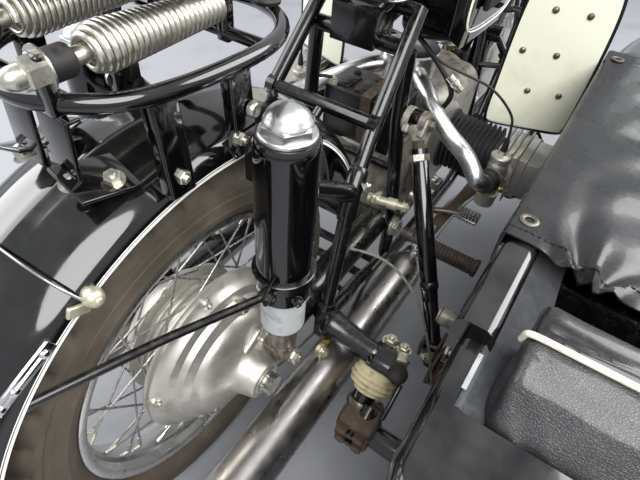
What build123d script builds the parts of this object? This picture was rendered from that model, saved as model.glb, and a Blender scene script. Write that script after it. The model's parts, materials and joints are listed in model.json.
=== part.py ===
"""Sidecar outfit: a flat-twin motorcycle with a leading-link fork and a sidecar on its right.

Vehicle coordinates in millimetres: X forward from the rear axle, Y left of the motorcycle's
middle plane, Z up from the ground. keep() moves every finished piece to the row's frame.
"""
import os
from math import cos, hypot, pi, radians, sin, tan

from build123d import *

os.makedirs("parts", exist_ok=True)

ORIGIN = (663, -412, 0)

# Wheels
WHEELBASE = 1415
TYRE_R = 326
TYRE_W = 100
RIM_FLANGE_R = 241.5
RIM_HALF_W = 37
RIM_BED_R = 219
AXLE_R = 9
AXLE_GAP = 0.3
HUB_FLANGE_R = 116
HUB_FLANGE_Y = 26
SPOKE_R = 2
SPOKES_PER_SIDE = 20
AXLE_Z = TYRE_R
SIDE_LEAD = 140

# Frame
TUBE_R = 14
RAKE = 27
TRAIL = 80
CRADLE_Y = 125
CRADLE_Z = 175
PIVOT_X = 430
PIVOT_Z = 330
SHOCK_X = 38
SHOCK_Y = 151

STAND_X = 440
STAND_Z = 140

# Rear mudguard
GUARD_EDGE_R = 357
GUARD_CROWN_R = 401
GUARD_HALF_W = 86
GUARD_T = 3
GUARD_LIFT = 14

# Engine
CYLINDER_X = 748
CYLINDER_STAGGER = 18
CYLINDER_Z = 400
CYLINDER_TIP_Y = 361
SILENCER_Y = 187
SILENCER_Z = 222
SILENCER_R = 44

# Sidecar
BODY_LEFT_Y = -378
BODY_W = 580
BODY_CORNER = 18
SIDE_CLEAR = 162
SIDE_TRACK = BODY_W - BODY_LEFT_Y + SIDE_CLEAR
BODY_MID_Y = BODY_LEFT_Y - BODY_W / 2
BODY_RIGHT_Y = BODY_LEFT_Y - BODY_W
BODY_FLOOR_Z = 235
DECK_Z = 600
WALL = 10
CHASSIS_Z = 205
CHASSIS_R = 19
RAIL_LEFT_Y = BODY_LEFT_Y - 54
RAIL_RIGHT_Y = BODY_RIGHT_Y - 34
RAIL_BACK_X = -260
RAIL_FRONT_X = WHEELBASE - 265


def keep(part, name):
    """Moves a finished piece to the row's frame, labels it and writes its STEP file."""
    placed = Pos(-ORIGIN[0], -ORIGIN[1], -ORIGIN[2]) * part
    placed.label = name
    export_step(placed, f"parts/{name}.step")


def run(points, bend):
    """Draws straight runs joined by tangent arcs in the open BuildLine."""
    corners = [Vector(*point) for point in points]
    start = corners[0]
    for before, corner, after in zip(corners, corners[1:], corners[2:]):
        back = (before - corner).normalized()
        ahead = (after - corner).normalized()
        half = radians(back.get_angle(ahead)) / 2
        reach = min(bend / tan(half), 0.45 * (before - corner).length, 0.45 * (after - corner).length)
        radius = reach * tan(half)
        middle = corner + (back + ahead).normalized() * (radius / sin(half) - radius)
        Line(start, corner + back * reach)
        ThreePointArc(corner + back * reach, middle, corner + ahead * reach)
        start = corner + ahead * reach
    Line(start, corners[-1])


def tube(points, radius, bend=60):
    """Adds a round bar swept along straight runs and tangent arcs."""
    with BuildLine() as path:
        run(points, bend)
    with BuildSketch(Plane(origin=path.line @ 0, z_dir=path.line % 0)) as section:
        Circle(radius)
    sweep(section.sketch, path=path.line)


def rod(start, end, radius, mode=Mode.ADD):
    """Adds or cuts a round bar between two points."""
    along = Vector(*end) - Vector(*start)
    with Locations(Plane(origin=start, z_dir=along).location):
        Cylinder(radius, along.length, align=(Align.CENTER, Align.CENTER, Align.MIN), mode=mode)


def cone(start, end, start_r, end_r):
    """Adds a cone between two points."""
    along = Vector(*end) - Vector(*start)
    with Locations(Plane(origin=start, z_dir=along).location):
        Cone(start_r, end_r, along.length, align=(Align.CENTER, Align.CENTER, Align.MIN))


def block(centre, size, mode=Mode.ADD):
    """Adds or cuts a box."""
    with Locations(centre):
        Box(*size, mode=mode)


def turned(profile, centre=(0, 0), first=90, arc=360, mode=Mode.ADD):
    """Revolves a (y, radius) outline about a cross axis at centre (x, z).

    The arc starts at the angle first, measured from +X towards +Z, and falls from there.
    """
    x, z = centre
    facing = (sin(radians(first)), 0, -cos(radians(first)))
    with BuildSketch(Plane(origin=(x, 0, z), x_dir=(0, 1, 0), z_dir=facing)) as section:
        with BuildLine():
            Polyline(*profile, close=True)
        make_face()
    revolve(section.sketch, axis=Axis((x, 0, z), (0, 1, 0)), revolution_arc=arc, mode=mode)


def steer_x(z):
    """X of the steering axis at height z."""
    return WHEELBASE + TRAIL - z * tan(radians(RAKE))


# Wheels
HALF_TYRE = TYRE_W / 2
TYRE_BEAD_R = RIM_BED_R + 14.5

with BuildPart() as tyre:
    turned([(-32, TYRE_BEAD_R), (-33, RIM_FLANGE_R + 1.5), (-44, 254), (-HALF_TYRE, 276),
            (-46, 298), (-34, TYRE_R - 9), (-17, TYRE_R - 1.5), (0, TYRE_R), (17, TYRE_R - 1.5),
            (34, TYRE_R - 9), (46, 298), (HALF_TYRE, 276), (44, 254), (33, RIM_FLANGE_R + 1.5),
            (32, TYRE_BEAD_R)], (0, AXLE_Z))

with BuildPart() as rim:
    turned([(-RIM_HALF_W, RIM_FLANGE_R), (-33.6, RIM_FLANGE_R), (-32.6, TYRE_BEAD_R - 0.4),
            (32.6, TYRE_BEAD_R - 0.4), (33.6, RIM_FLANGE_R), (RIM_HALF_W, RIM_FLANGE_R),
            (35, 227), (18, 225), (11, RIM_BED_R), (-11, RIM_BED_R), (-18, 225), (-35, 227)],
           (0, AXLE_Z))

with BuildPart() as hub:
    turned([(-30, AXLE_R + AXLE_GAP), (-30, HUB_FLANGE_R), (-22, HUB_FLANGE_R), (-20, 100),
            (20, 100), (22, HUB_FLANGE_R), (30, HUB_FLANGE_R), (34, 104), (58, 92), (66, 60),
            (66, AXLE_R + AXLE_GAP)], (0, AXLE_Z))
    for side in (-1, 1):
        for number in range(SPOKES_PER_SIDE):
            lean = 1 if number % 2 else -1
            at_rim = 2 * pi * (number + 0.25 + 0.25 * side) / SPOKES_PER_SIDE
            at_hub = at_rim + lean * radians(52)
            hub_y = side * (HUB_FLANGE_Y + lean * 2.2)
            rim_y = side * (5 + lean * 2.2)
            hub_end = (cos(at_hub) * (HUB_FLANGE_R - 5), hub_y, AXLE_Z + sin(at_hub) * (HUB_FLANGE_R - 5))
            rim_reach = RIM_BED_R - 1.5
            rim_end = (cos(at_rim) * rim_reach, rim_y, AXLE_Z + sin(at_rim) * rim_reach)
            rod(hub_end, rim_end, SPOKE_R)

# Every wheel: name, x, y
WHEELS = (
    ("rear", 0, 0),
    ("front", WHEELBASE, 0),
    ("side", SIDE_LEAD, -SIDE_TRACK),
)
for wheel, x, y in WHEELS:
    keep(Pos(x, y, 0) * tyre.part, f"{wheel}_tyre")
    keep(Pos(x, y, 0) * rim.part, f"{wheel}_rim")
    keep(Pos(x, y, 0) * hub.part, f"{wheel}_hub")

# Frame
TUNNEL_HALF_W = 26
TUNNEL_BACK_X = 700
TUNNEL_FRONT_X = steer_x(742) - 140
HEAD_LOW = (steer_x(690), 0, 690)
HEAD_HIGH = (steer_x(855), 0, 855)
DOWN_TOP = (steer_x(722) - 26, 22, 722)
DOWN_FOOT = (WHEELBASE - 490, CRADLE_Y, CRADLE_Z + 20)


def down_tube(z):
    """X and distance from the middle plane of the front frame tubes at height z."""
    share = (DOWN_TOP[2] - z) / (DOWN_TOP[2] - DOWN_FOOT[2])
    return tuple(top + (foot - top) * share for top, foot in zip(DOWN_TOP[:2], DOWN_FOOT[:2]))


with BuildPart() as main_frame:
    for side in (-1, 1):
        tube([(DOWN_TOP[0], side * DOWN_TOP[1], DOWN_TOP[2]), (DOWN_FOOT[0], side * CRADLE_Y, DOWN_FOOT[2]),
              (DOWN_FOOT[0] - 45, side * CRADLE_Y, CRADLE_Z), (470, side * CRADLE_Y, CRADLE_Z),
              (472, side * 122, 330), (455, side * 97, 560), (455, side * 92, 690)], TUBE_R)
        block((471, side * 131, PIVOT_Z), (30, 22, 44))
        block((442, side * 138.7, PIVOT_Z), (56, 6.6, 44))
        block((STAND_X + 4, side * 118, STAND_Z + 6), (44, 8, 40))
        rod((STAND_X, side * 122, STAND_Z), (STAND_X, side * 60, STAND_Z), 6)
    rod((455, -92, 690), (455, 92, 690), TUBE_R)
    rod((463, -108, 450), (463, 108, 450), TUBE_R - 6)
    for x in (TUNNEL_BACK_X, TUNNEL_FRONT_X):
        rod((x, -TUNNEL_HALF_W + 0.2, 742), (x, TUNNEL_HALF_W - 0.2, 742), 9)
    rod((470, -CRADLE_Y, CRADLE_Z), (470, CRADLE_Y, CRADLE_Z), 11)
    tube([(455, 0, 690), (620, 0, 715), (steer_x(770), 0, 770)], 19, 200)
    rod(HEAD_LOW, HEAD_HIGH, 32)
    rod((steer_x(660), 0, 660), (steer_x(880), 0, 880), 20.3, Mode.SUBTRACT)
keep(main_frame.part, "main_frame")

SHOCK_LOW_Z = 372
with BuildPart() as shock_covers:
    for side in (-1, 1):
        rod((SHOCK_X, side * SHOCK_Y, 489), (SHOCK_X, side * SHOCK_Y, 744), 36)
keep(shock_covers.part, "shock_covers")

with BuildPart() as rear_frame:
    for side in (-1, 1):
        tube([(474, side * 90, 752), (344, side * 104, 605), (262, side * 120, 520),
              (214, side * 136, 425), (165, side * 148, 300)], TUBE_R - 1)
        tube([(262, side * 120, 526), (150, side * 114, 600), (60, side * 106, 712)], TUBE_R - 1, 80)
        tube([(165, side * 148, 300), (250, side * 146, 284), (330, side * 128, 240),
              (450, side * 124, 200)], 12, 60)
        block((48, side * 113, 712), (40, 22, 60))
        block((165, side * 152, 308), (44, 16, 50))
    rod((344, -104, 605), (344, 104, 605), 12)
    rod((470, -90, 748), (470, 90, 748), 12)
    reach = hypot(344, 605 - AXLE_Z - GUARD_LIFT)
    seat = (GUARD_CROWN_R + 0.2) / reach
    rod((344, 0, 605), (344 * seat, 0, AXLE_Z + GUARD_LIFT + (605 - AXLE_Z - GUARD_LIFT) * seat), 8)
    add(shock_covers.part, mode=Mode.SUBTRACT)
    add(main_frame.part, mode=Mode.SUBTRACT)
keep(rear_frame.part, "rear_frame")

with BuildPart() as swing_arm:
    rod((92, -105, AXLE_Z), (PIVOT_X, -100, PIVOT_Z), 30)
    rod((60, 105, AXLE_Z), (PIVOT_X, 100, PIVOT_Z), 24)
    rod((PIVOT_X, -104, PIVOT_Z), (PIVOT_X, 104, PIVOT_Z), 26)
    rod((0, 78, AXLE_Z), (0, 122, AXLE_Z), 30)
    block((32, 105, AXLE_Z), (64, 26, 36))
    block((SHOCK_X, 112, AXLE_Z + 30), (34, 12, 60))
    rod((0, 60, AXLE_Z), (0, 140, AXLE_Z), AXLE_R + 0.05, Mode.SUBTRACT)
    add(rear_frame.part, mode=Mode.SUBTRACT)
keep(swing_arm.part, "swing_arm")

with BuildPart() as final_drive:
    turned([(-36, 60), (-36, 143), (-46, 143), (-50, 132), (-62, 128), (-70, 112), (-92, 96),
            (-104, 70), (-112, 44), (-150, 34), (-150, AXLE_R + 0.05), (-36, AXLE_R + 0.05)],
           (0, AXLE_Z))
    cone((40, -102, AXLE_Z), (92, -105, AXLE_Z), 46, 36)
    block((SHOCK_X, -116, AXLE_Z + 34), (34, 20, 56))
    add(swing_arm.part, mode=Mode.SUBTRACT)
keep(final_drive.part, "final_drive")

with BuildPart() as rear_axle:
    rod((0, -160, AXLE_Z), (0, 132, AXLE_Z), AXLE_R)
    rod((0, -166, AXLE_Z), (0, -151, AXLE_Z), 17)
    rod((0, 123, AXLE_Z), (0, 140, AXLE_Z), 17)
    rod((0, 71, AXLE_Z), (0, 77, AXLE_Z), 16)
keep(rear_axle.part, "rear_axle")

# Lower shock bodies as turned steps: low z, high z, radius
LEG_STEPS = ((398, 440, 21), (440, 488, 29), (358, 398, 17))
with BuildPart() as shock_legs:
    for side in (-1, 1):
        for low, high, radius in LEG_STEPS:
            rod((SHOCK_X, side * SHOCK_Y, low), (SHOCK_X, side * SHOCK_Y, high), radius)
        rod((SHOCK_X, side * 118.2 - (8 if side < 0 else 0), SHOCK_LOW_Z), (SHOCK_X, side * 176, SHOCK_LOW_Z), 8)
    add(final_drive.part, mode=Mode.SUBTRACT)
keep(shock_legs.part, "shock_legs")

with BuildPart() as shock_caps:
    for side in (-1, 1):
        rod((SHOCK_X, side * SHOCK_Y, 744.2), (SHOCK_X, side * SHOCK_Y, 760), 38)
        cone((SHOCK_X, side * SHOCK_Y, 760), (SHOCK_X, side * SHOCK_Y, 772), 38, 29)
        cone((SHOCK_X, side * SHOCK_Y, 772), (SHOCK_X, side * SHOCK_Y, 790), 26, 16)
keep(shock_caps.part, "shock_caps")

# Engine
with BuildPart() as engine_block:
    block((750, 0, 388), (250, 240, 276))
    fillet(engine_block.edges().filter_by(Axis.X), 46)
    block((750, 0, 212), (200, 180, 76))
    rod((874, 0, 415), (923, 0, 415), 104)
    block((553, 0, 365), (146, 170, 190))
    rod((640, 0, 365), (480, 0, 365), 92)
    for side in (-1, 1):
        x = CYLINDER_X + side * CYLINDER_STAGGER
        rod((x, side * 100, CYLINDER_Z), (x, side * 120, CYLINDER_Z), 74)
        block((850, side * (90 + (CRADLE_Y - TUBE_R - 90.2) / 2), CRADLE_Z), (40, CRADLE_Y - TUBE_R - 90.2, 22))
        block((850, side * 80, CRADLE_Z), (40, 24, 30))
    for angle in range(0, 360, 45):
        bolt_y = cos(radians(angle)) * 92
        bolt_z = 415 + sin(radians(angle)) * 92
        rod((920, bolt_y, bolt_z), (926, bolt_y, bolt_z), 6)
keep(engine_block.part, "engine_block")

with BuildPart() as cylinders:
    for side in (-1, 1):
        x = CYLINDER_X + side * CYLINDER_STAGGER
        rod((x, side * 120.1, CYLINDER_Z), (x, side * 252, CYLINDER_Z), 46)
        for number in range(8):
            near = 140 + number * 14
            rod((x, side * near, CYLINDER_Z), (x, side * (near + 4), CYLINDER_Z), 66)
keep(cylinders.part, "cylinders")

with BuildPart() as cylinder_heads:
    for side in (-1, 1):
        x = CYLINDER_X + side * CYLINDER_STAGGER
        block((x, side * 286, CYLINDER_Z), (118, 67.6, 96))
        block((x, side * (CYLINDER_TIP_Y - 20.7), CYLINDER_Z), (112, 41.4, 88))
        for number in range(4):
            block((x, side * (258 + number * 14), CYLINDER_Z), (136, 4, 124))
keep(cylinder_heads.part, "cylinder_heads")

AIR_X = 690
AIR_R = 62
with BuildPart() as carburettors:
    for side in (-1, 1):
        x = CYLINDER_X + side * CYLINDER_STAGGER - 70
        rod((x + 11, side * 275, 412), (x - 62, side * 268, 420), 22)
        rod((x - 30, side * 271, 356), (x - 30, side * 271, 470), 19)
        tube([(x - 63, side * 268, 420), (x - 112, side * 250, 440), (575, side * 160, 505),
              (628, side * 70, 556), (672, side * 30, 562)], 19, 40)
        rod((x - 62, side * 268, 420), (x - 40, side * 269.6, 417.6), 24)
        rod((x - 30, side * 271, 340), (x - 30, side * 271, 372), 24)
    rod((AIR_X, 0, 520), (AIR_X, 0, 620), AIR_R + 0.3, Mode.SUBTRACT)
    add(cylinder_heads.part, mode=Mode.SUBTRACT)
keep(carburettors.part, "carburettors")

with BuildPart() as air_cleaner:
    rod((AIR_X, 0, 526.2), (AIR_X, 0, 590), AIR_R)
    rod((AIR_X, 0, 590), (AIR_X, 0, 602), AIR_R + 4)
keep(air_cleaner.part, "air_cleaner")

with BuildPart() as exhausts:
    for side in (-1, 1):
        x = CYLINDER_X + side * CYLINDER_STAGGER + 60
        tube([(x + 8.2, side * 290, 398), (x + 95, side * 290, 398), (x + 90, side * 232, 238),
              (x - 60, side * SILENCER_Y, SILENCER_Z - 12), (495, side * SILENCER_Y, SILENCER_Z)], 19, 50)
        with BuildSketch(Plane(origin=(0, side * SILENCER_Y, SILENCER_Z), x_dir=(1, 0, 0), z_dir=(0, -1, 0))) as shell:
            with BuildLine():
                Polyline((500, 0), (500, 23), (486, 23), (446, SILENCER_R - 3), (428, SILENCER_R),
                         (-250, SILENCER_R), (-415, 20), (-415, 0), close=True)
            make_face()
        revolve(shell.sketch, axis=Axis((0, side * SILENCER_Y, SILENCER_Z), (1, 0, 0)))
keep(exhausts.part, "exhausts")

# Tank, saddles, battery
TANK_HALF_W = 150
TANK_BACK_X = 552
TANK_NOSE_X = steer_x(790) - 40


def tank_x(share):
    """X at a share of the tank's length."""
    return TANK_BACK_X + (TANK_NOSE_X - TANK_BACK_X) * share


with BuildPart() as fuel_tank:
    with BuildSketch(Plane.XZ):
        with BuildLine():
            Polyline((tank_x(0.01), 690), (tank_x(0.06), 664), (tank_x(0.69), 690), (tank_x(0.975), 742),
                     (tank_x(1), 790), (tank_x(0.9), 842), (tank_x(0.53), 868), (tank_x(0.17), 842),
                     (tank_x(0.01), 770), close=True)
        make_face()
    extrude(amount=TANK_HALF_W, both=True)
    fillet(fuel_tank.edges().filter_by(Axis.Y), 14)
    with BuildSketch(Plane.XY.offset(600)):
        with BuildLine():
            Polyline((tank_x(0), 118), (tank_x(0.05), 136), (tank_x(0.4), TANK_HALF_W), (tank_x(0.65), 138),
                     (tank_x(0.9), 84), (tank_x(0.98), 52), (tank_x(1.02), 34), (tank_x(1.02), -34),
                     (tank_x(0.98), -52), (tank_x(0.9), -84), (tank_x(0.65), -138), (tank_x(0.4), -TANK_HALF_W),
                     (tank_x(0.05), -136), (tank_x(0), -118), close=True)
        make_face()
    extrude(amount=320, mode=Mode.INTERSECT)
    block(((tank_x(0) + tank_x(1)) / 2, 0, 725), (tank_x(1.15) - tank_x(0), 2 * TUNNEL_HALF_W, 140), Mode.SUBTRACT)
keep(fuel_tank.part, "fuel_tank")

SADDLE_Z = 832
with BuildPart() as rider_saddle:
    with BuildSketch(Plane.XY.offset(SADDLE_Z)):
        with BuildLine():
            Polyline((325, 85), (350, 120), (400, 135), (450, 128), (510, 84), (565, 42), (590, 24), (590, -24),
                     (565, -42), (510, -84), (450, -128), (400, -135), (350, -120), (325, -85), close=True)
        make_face()
    extrude(amount=52)
    fillet(rider_saddle.edges().group_by(Axis.Z)[-1], 14)
keep(rider_saddle.part, "rider_saddle")

with BuildPart() as saddle_mount:
    block((452, 0, 716), (68, 84, 62))
    rod((470, 0, 745), (552, 0, SADDLE_Z + 4), 10)
    for side in (-1, 1):
        rod((452, side * 30, 740), (452, side * 52, 762), 9)
        rod((452, side * 52, 758), (452, side * 52, SADDLE_Z + 4), 20)
    add(rider_saddle.part, mode=Mode.SUBTRACT)
    add(rear_frame.part, mode=Mode.SUBTRACT)
    add(main_frame.part, mode=Mode.SUBTRACT)
keep(saddle_mount.part, "saddle_mount")

with BuildPart() as battery:
    block((530, 0, 515), (108, 160, 109.6))
    for x in (500, 530, 560):
        rod((x, -40, 569), (x, -40, 574), 9)
    for y in (-60, 60):
        block((530, y, 567), (100, 6, 8))
keep(battery.part, "battery")

# Rear guard, rack and pillion

def guard(centre, first, arc, half_w=GUARD_HALF_W, edge_r=GUARD_EDGE_R, crown_r=GUARD_CROWN_R, lip=8,
          filled=False, mode=Mode.ADD):
    """Adds a mudguard shell, a crowned section turned about a wheel's axis, or its filled form."""
    x, z = centre
    facing = (sin(radians(first)), 0, -cos(radians(first)))
    with BuildSketch(Plane(origin=(x, 0, z), x_dir=(0, 1, 0), z_dir=facing)) as section:
        with BuildLine():
            Line((-half_w, edge_r), (-half_w, edge_r + lip))
            ThreePointArc((-half_w, edge_r + lip), (0, crown_r), (half_w, edge_r + lip))
            if filled:
                Polyline((half_w, edge_r + lip), (half_w, edge_r - 60), (-half_w, edge_r - 60), (-half_w, edge_r))
            else:
                Polyline((half_w, edge_r + lip), (half_w, edge_r), (half_w - GUARD_T, edge_r),
                         (half_w - GUARD_T, edge_r + lip))
                ThreePointArc((half_w - GUARD_T, edge_r + lip), (0, crown_r - GUARD_T),
                              (GUARD_T - half_w, edge_r + lip))
                Polyline((GUARD_T - half_w, edge_r + lip), (GUARD_T - half_w, edge_r), (-half_w, edge_r))
        make_face()
    revolve(section.sketch, axis=Axis((x, 0, z), (0, 1, 0)), revolution_arc=arc, mode=mode)


with BuildPart() as rear_mudguard:
    guard((0, AXLE_Z + GUARD_LIFT), 196, 187)
keep(rear_mudguard.part, "rear_mudguard")

with BuildPart() as guard_stays:
    for side in (-1, 1):
        rod((-266, side * 78, 582), (-2, side * 156, 556), 5)
        rod((-266, side * 74, 583), (-266, side * 84, 583), 7)
        with Locations((SHOCK_X, side * SHOCK_Y, 556)):
            Cylinder(42, 16)
            Cylinder(36.3, 20, mode=Mode.SUBTRACT)
    add(rear_mudguard.part, mode=Mode.SUBTRACT)
keep(guard_stays.part, "guard_stays")

with BuildPart() as rear_guard_form:
    guard((0, AXLE_Z + GUARD_LIFT), 196, 187, filled=True)

RACK_Z = 820
RACK_R = 7
RACK_HALF_W = 104
RACK_BACK_X = -137
RACK_FRONT_X = 160
SPRING_Z = 848
SPRING_Y = 50
with BuildPart() as pillion_rack:
    for x, bend in ((RACK_BACK_X, 84), (RACK_FRONT_X, 70)):
        tube([(10, RACK_HALF_W, RACK_Z), (x, RACK_HALF_W, RACK_Z), (x, -RACK_HALF_W, RACK_Z),
              (10, -RACK_HALF_W, RACK_Z)], RACK_R, bend)
    for side in (-1, 1):
        for x in (34, -58):
            block((x, side * 94, 762), (28, 10, 112))
        rod((40, side * 101.8, 716), (40, side * 76, 716), 8)
        rod((-58, side * 99, 718), (-58, side * 74, 718), 8)
        block((-128, side * SPRING_Y, 838), (12, 14, 44))
        block((66, side * SPRING_Y, 838), (12, 14, 44))
    rod((66, -RACK_HALF_W, RACK_Z), (66, RACK_HALF_W, RACK_Z), 6)
    rod((-118, -60, RACK_Z), (-118, 60, RACK_Z), 6)
    add(rear_guard_form.part, mode=Mode.SUBTRACT)
keep(pillion_rack.part, "pillion_rack")

with BuildPart() as pillion_springs:
    for side in (-1, 1):
        rod((-160, side * SPRING_Y, SPRING_Z), (-134.2, side * SPRING_Y, SPRING_Z), 10)
        rod((-121.8, side * SPRING_Y, SPRING_Z), (-92, side * SPRING_Y, SPRING_Z), 10)
        cone((-92, side * SPRING_Y, SPRING_Z), (59.8, side * SPRING_Y, SPRING_Z), 21, 12)
keep(pillion_springs.part, "pillion_springs")

with BuildPart() as pillion_saddle:
    with BuildSketch(Plane.XY.offset(912)) as outline:
        with BuildLine():
            Polyline((-112, 70), (-90, 104), (30, 108), (120, 60), (190, 34), (190, -34), (120, -60),
                     (30, -108), (-90, -104), (-112, -70), close=True)
        make_face()
    extrude(amount=46)
    fillet(pillion_saddle.edges().group_by(Axis.Z)[-1], 12)
    rod((66, 0, 826.2), (66, 0, 912), 9)
keep(pillion_saddle.part, "pillion_saddle")

PLATE_HOLE_Y = 65
PLATE_HOLE_Z = 480
with BuildPart() as tail_lamp:
    rod((-320, 0, 552), (-404, 0, 574), 30)
    block((-410, 0, 430), (4, 180, 150))
    for y in (-PLATE_HOLE_Y, PLATE_HOLE_Y):
        rod((-420, y, PLATE_HOLE_Z), (-400, y, PLATE_HOLE_Z), 3.2, Mode.SUBTRACT)
    rod((-350, 0, 500), (-409, 0, 500), 8)
    rod((-378, 0, 400), (-409, 0, 400), 8)
    add(rear_guard_form.part, mode=Mode.SUBTRACT)
keep(tail_lamp.part, "tail_lamp")

# Leg shields, footrests, stand
SHIELD_X = 758
SHIELD_Y = 271
SHIELD_TURN = (0.33, 0.944)
with BuildPart() as leg_shields:
    for side in (-1, 1):
        along, across = SHIELD_TURN
        with BuildSketch(Plane(origin=(SHIELD_X, side * SHIELD_Y, 0), x_dir=(along, side * across, 0),
                               z_dir=(side * across, -along, 0))) as panel:
            with BuildLine():
                Polyline((-86, 482), (-74, 474), (74, 474), (86, 482), (92, 690), (86, 760), (66, 812), (40, 834),
                         (-30, 848), (-54, 838), (-72, 800), (-84, 700), close=True)
            make_face()
        extrude(panel.sketch, amount=1.5, both=True)
keep(leg_shields.part, "leg_shields")

with BuildPart() as shield_stays:
    for side in (-1, 1):
        for low_z, high_z in ((470, 600), (590, 700)):
            x, y = down_tube(low_z)
            tube([(x, side * y, low_z), (x - 90, side * (y + 82), low_z + 50),
                  (SHIELD_X - 4.8, side * (SHIELD_Y - 23), high_z)], 7, 50)
    add(main_frame.part, mode=Mode.SUBTRACT)
    add(leg_shields.part, mode=Mode.SUBTRACT)
keep(shield_stays.part, "shield_stays")

with BuildPart() as foot_controls:
    for side in (-1, 1):
        rod((500, side * CRADLE_Y, CRADLE_Z + 15), (506, side * 152, 262), 9)
        rod((506, side * 152, 262), (506, side * 326, 262), 9)
        tube([(508, side * 158, 264), (610, side * 162, 270), (648, side * 232, 272)], 8, 30)
        block((652, side * 245, 272), (46, 62, 14))
    add(main_frame.part, mode=Mode.SUBTRACT)
keep(foot_controls.part, "foot_controls")

with BuildPart() as footrests:
    for side in (-1, 1):
        rod((506, side * 208, 262), (506, side * 322, 262), 18)
        rod((506, side * 322, 262), (506, side * 330, 262), 21)
        rod((506, side * 150, 262), (506, side * 328, 262), 9.1, Mode.SUBTRACT)
keep(footrests.part, "footrests")

with BuildPart() as centre_stand:
    rod((STAND_X, -106, STAND_Z), (STAND_X, 106, STAND_Z), 11)
    for side in (-1, 1):
        tube([(STAND_X - 8, side * 88, STAND_Z), (350, side * 88, STAND_Z + 4), (318, side * 106, 160)], 9, 20)
    rod((368, -88, STAND_Z + 3), (368, 88, STAND_Z + 3), 7)
    rod((STAND_X, -122, STAND_Z), (STAND_X, 122, STAND_Z), 6.3, Mode.SUBTRACT)
keep(centre_stand.part, "centre_stand")

# Fork, lamp and bars
YOKE_LOW = (steer_x(672), 0, 672)
YOKE_HIGH = (steer_x(877), 0, 877)
LEG_AHEAD = (31, 16)
LEG_Y = 102
LEG_LOW_Y = 124
LINK_X = WHEELBASE - 375
LINK_Z = 300
with BuildPart() as front_links:
    rod((LINK_X, -101.8, LINK_Z), (LINK_X, 101.8, LINK_Z), 17)
    for side in (-1, 1):
        rod((LINK_X, side * 86, LINK_Z), (WHEELBASE, side * 90, AXLE_Z), 14)
        block((WHEELBASE - 8, side * 91, AXLE_Z), (64, 31, 44))
    rod((WHEELBASE, -120, AXLE_Z), (WHEELBASE, 120, AXLE_Z), AXLE_R + 0.05, Mode.SUBTRACT)
keep(front_links.part, "front_links")

with BuildPart() as front_axle:
    rod((WHEELBASE, -118, AXLE_Z), (WHEELBASE, 118, AXLE_Z), AXLE_R)
    for low, high in ((-126, -106.7), (106.7, 126), (-75.3, -40), (71, 75.3)):
        rod((WHEELBASE, low, AXLE_Z), (WHEELBASE, high, AXLE_Z), 15)
keep(front_axle.part, "front_axle")

with BuildPart() as front_shocks:
    for side in (-1, 1):
        low = Vector(WHEELBASE - 34, side * 121, 352)
        high = Vector(WHEELBASE - 123, side * 136, 664)
        along = (high - low).normalized()
        rod(low, high, 10)
        rod(low + along * 20, low + along * 130, 17)
        rod(low + along * 120, high - along * 12, 26)
        rod(low, low - Vector(0, side * 20, 0), 12)
    add(front_links.part, mode=Mode.SUBTRACT)
keep(front_shocks.part, "front_shocks")

LAMP_X = WHEELBASE - 243
with BuildPart() as headlamp:
    with BuildSketch(Plane(origin=(LAMP_X, 0, 812), x_dir=(1, 0, 0), z_dir=(0, -1, 0))) as profile:
        with BuildLine():
            Polyline((0, 0), (6, 34), (28, 64), (68, 84), (118, 90), (140, 90), (142, 82), (144, 78), (154, 50),
                     (158, 0), close=True)
        make_face()
    revolve(profile.sketch, axis=Axis((LAMP_X, 0, 812), (1, 0, 0)))
keep(headlamp.part, "headlamp")

with BuildPart() as fork:
    rod((steer_x(660), 0, 660), (steer_x(885), 0, 885), 20)
    for x, _, z in (YOKE_LOW, YOKE_HIGH):
        with BuildSketch(Plane(origin=(x, 0, z), x_dir=(0, 1, 0),
                               z_dir=(-sin(radians(RAKE)), 0, cos(radians(RAKE))))) as yoke:
            Circle(33)
            with Locations((LEG_Y, -34.8), (-LEG_Y, -34.8)):
                Circle(25)
            make_hull()
        extrude(yoke.sketch, amount=10, both=True)
    for side in (-1, 1):
        tube([(YOKE_HIGH[0] + LEG_AHEAD[0] - 8, side * LEG_Y, YOKE_HIGH[2] + LEG_AHEAD[1] + 16),
              (steer_x(560) + LEG_AHEAD[0], side * (LEG_Y + 4), 560 + LEG_AHEAD[1]),
              (LINK_X, side * LEG_LOW_Y, LINK_Z)], 19, 190)
        rod((LINK_X, side * 102, LINK_Z), (LINK_X, side * 142, LINK_Z), 24)
        block((WHEELBASE - 153, side * 112, 652), (92, 14, 44))
        rod((YOKE_HIGH[0] + 80, side * LEG_Y, 800), (LAMP_X + 68, side * 88.5, 812), 9)
    add(front_shocks.part, mode=Mode.SUBTRACT)
    add(headlamp.part, mode=Mode.SUBTRACT)
keep(fork.part, "fork")

FRONT_GUARD_HALF_W = 62
with BuildPart() as front_mudguard:
    guard((WHEELBASE, AXLE_Z + 8), 172, 150, FRONT_GUARD_HALF_W, 344, 378, 6)
    for side in (-1, 1):
        for x, z in ((WHEELBASE - 190, 626), (WHEELBASE + 90, 669)):
            rod((WHEELBASE - 8, side * 82, AXLE_Z + 22), (x, side * 64, z), 6)
            rod((x, side * 61.5, z), (x, side * 66, z), 11)
    add(front_links.part, mode=Mode.SUBTRACT)
keep(front_mudguard.part, "front_mudguard")

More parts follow.
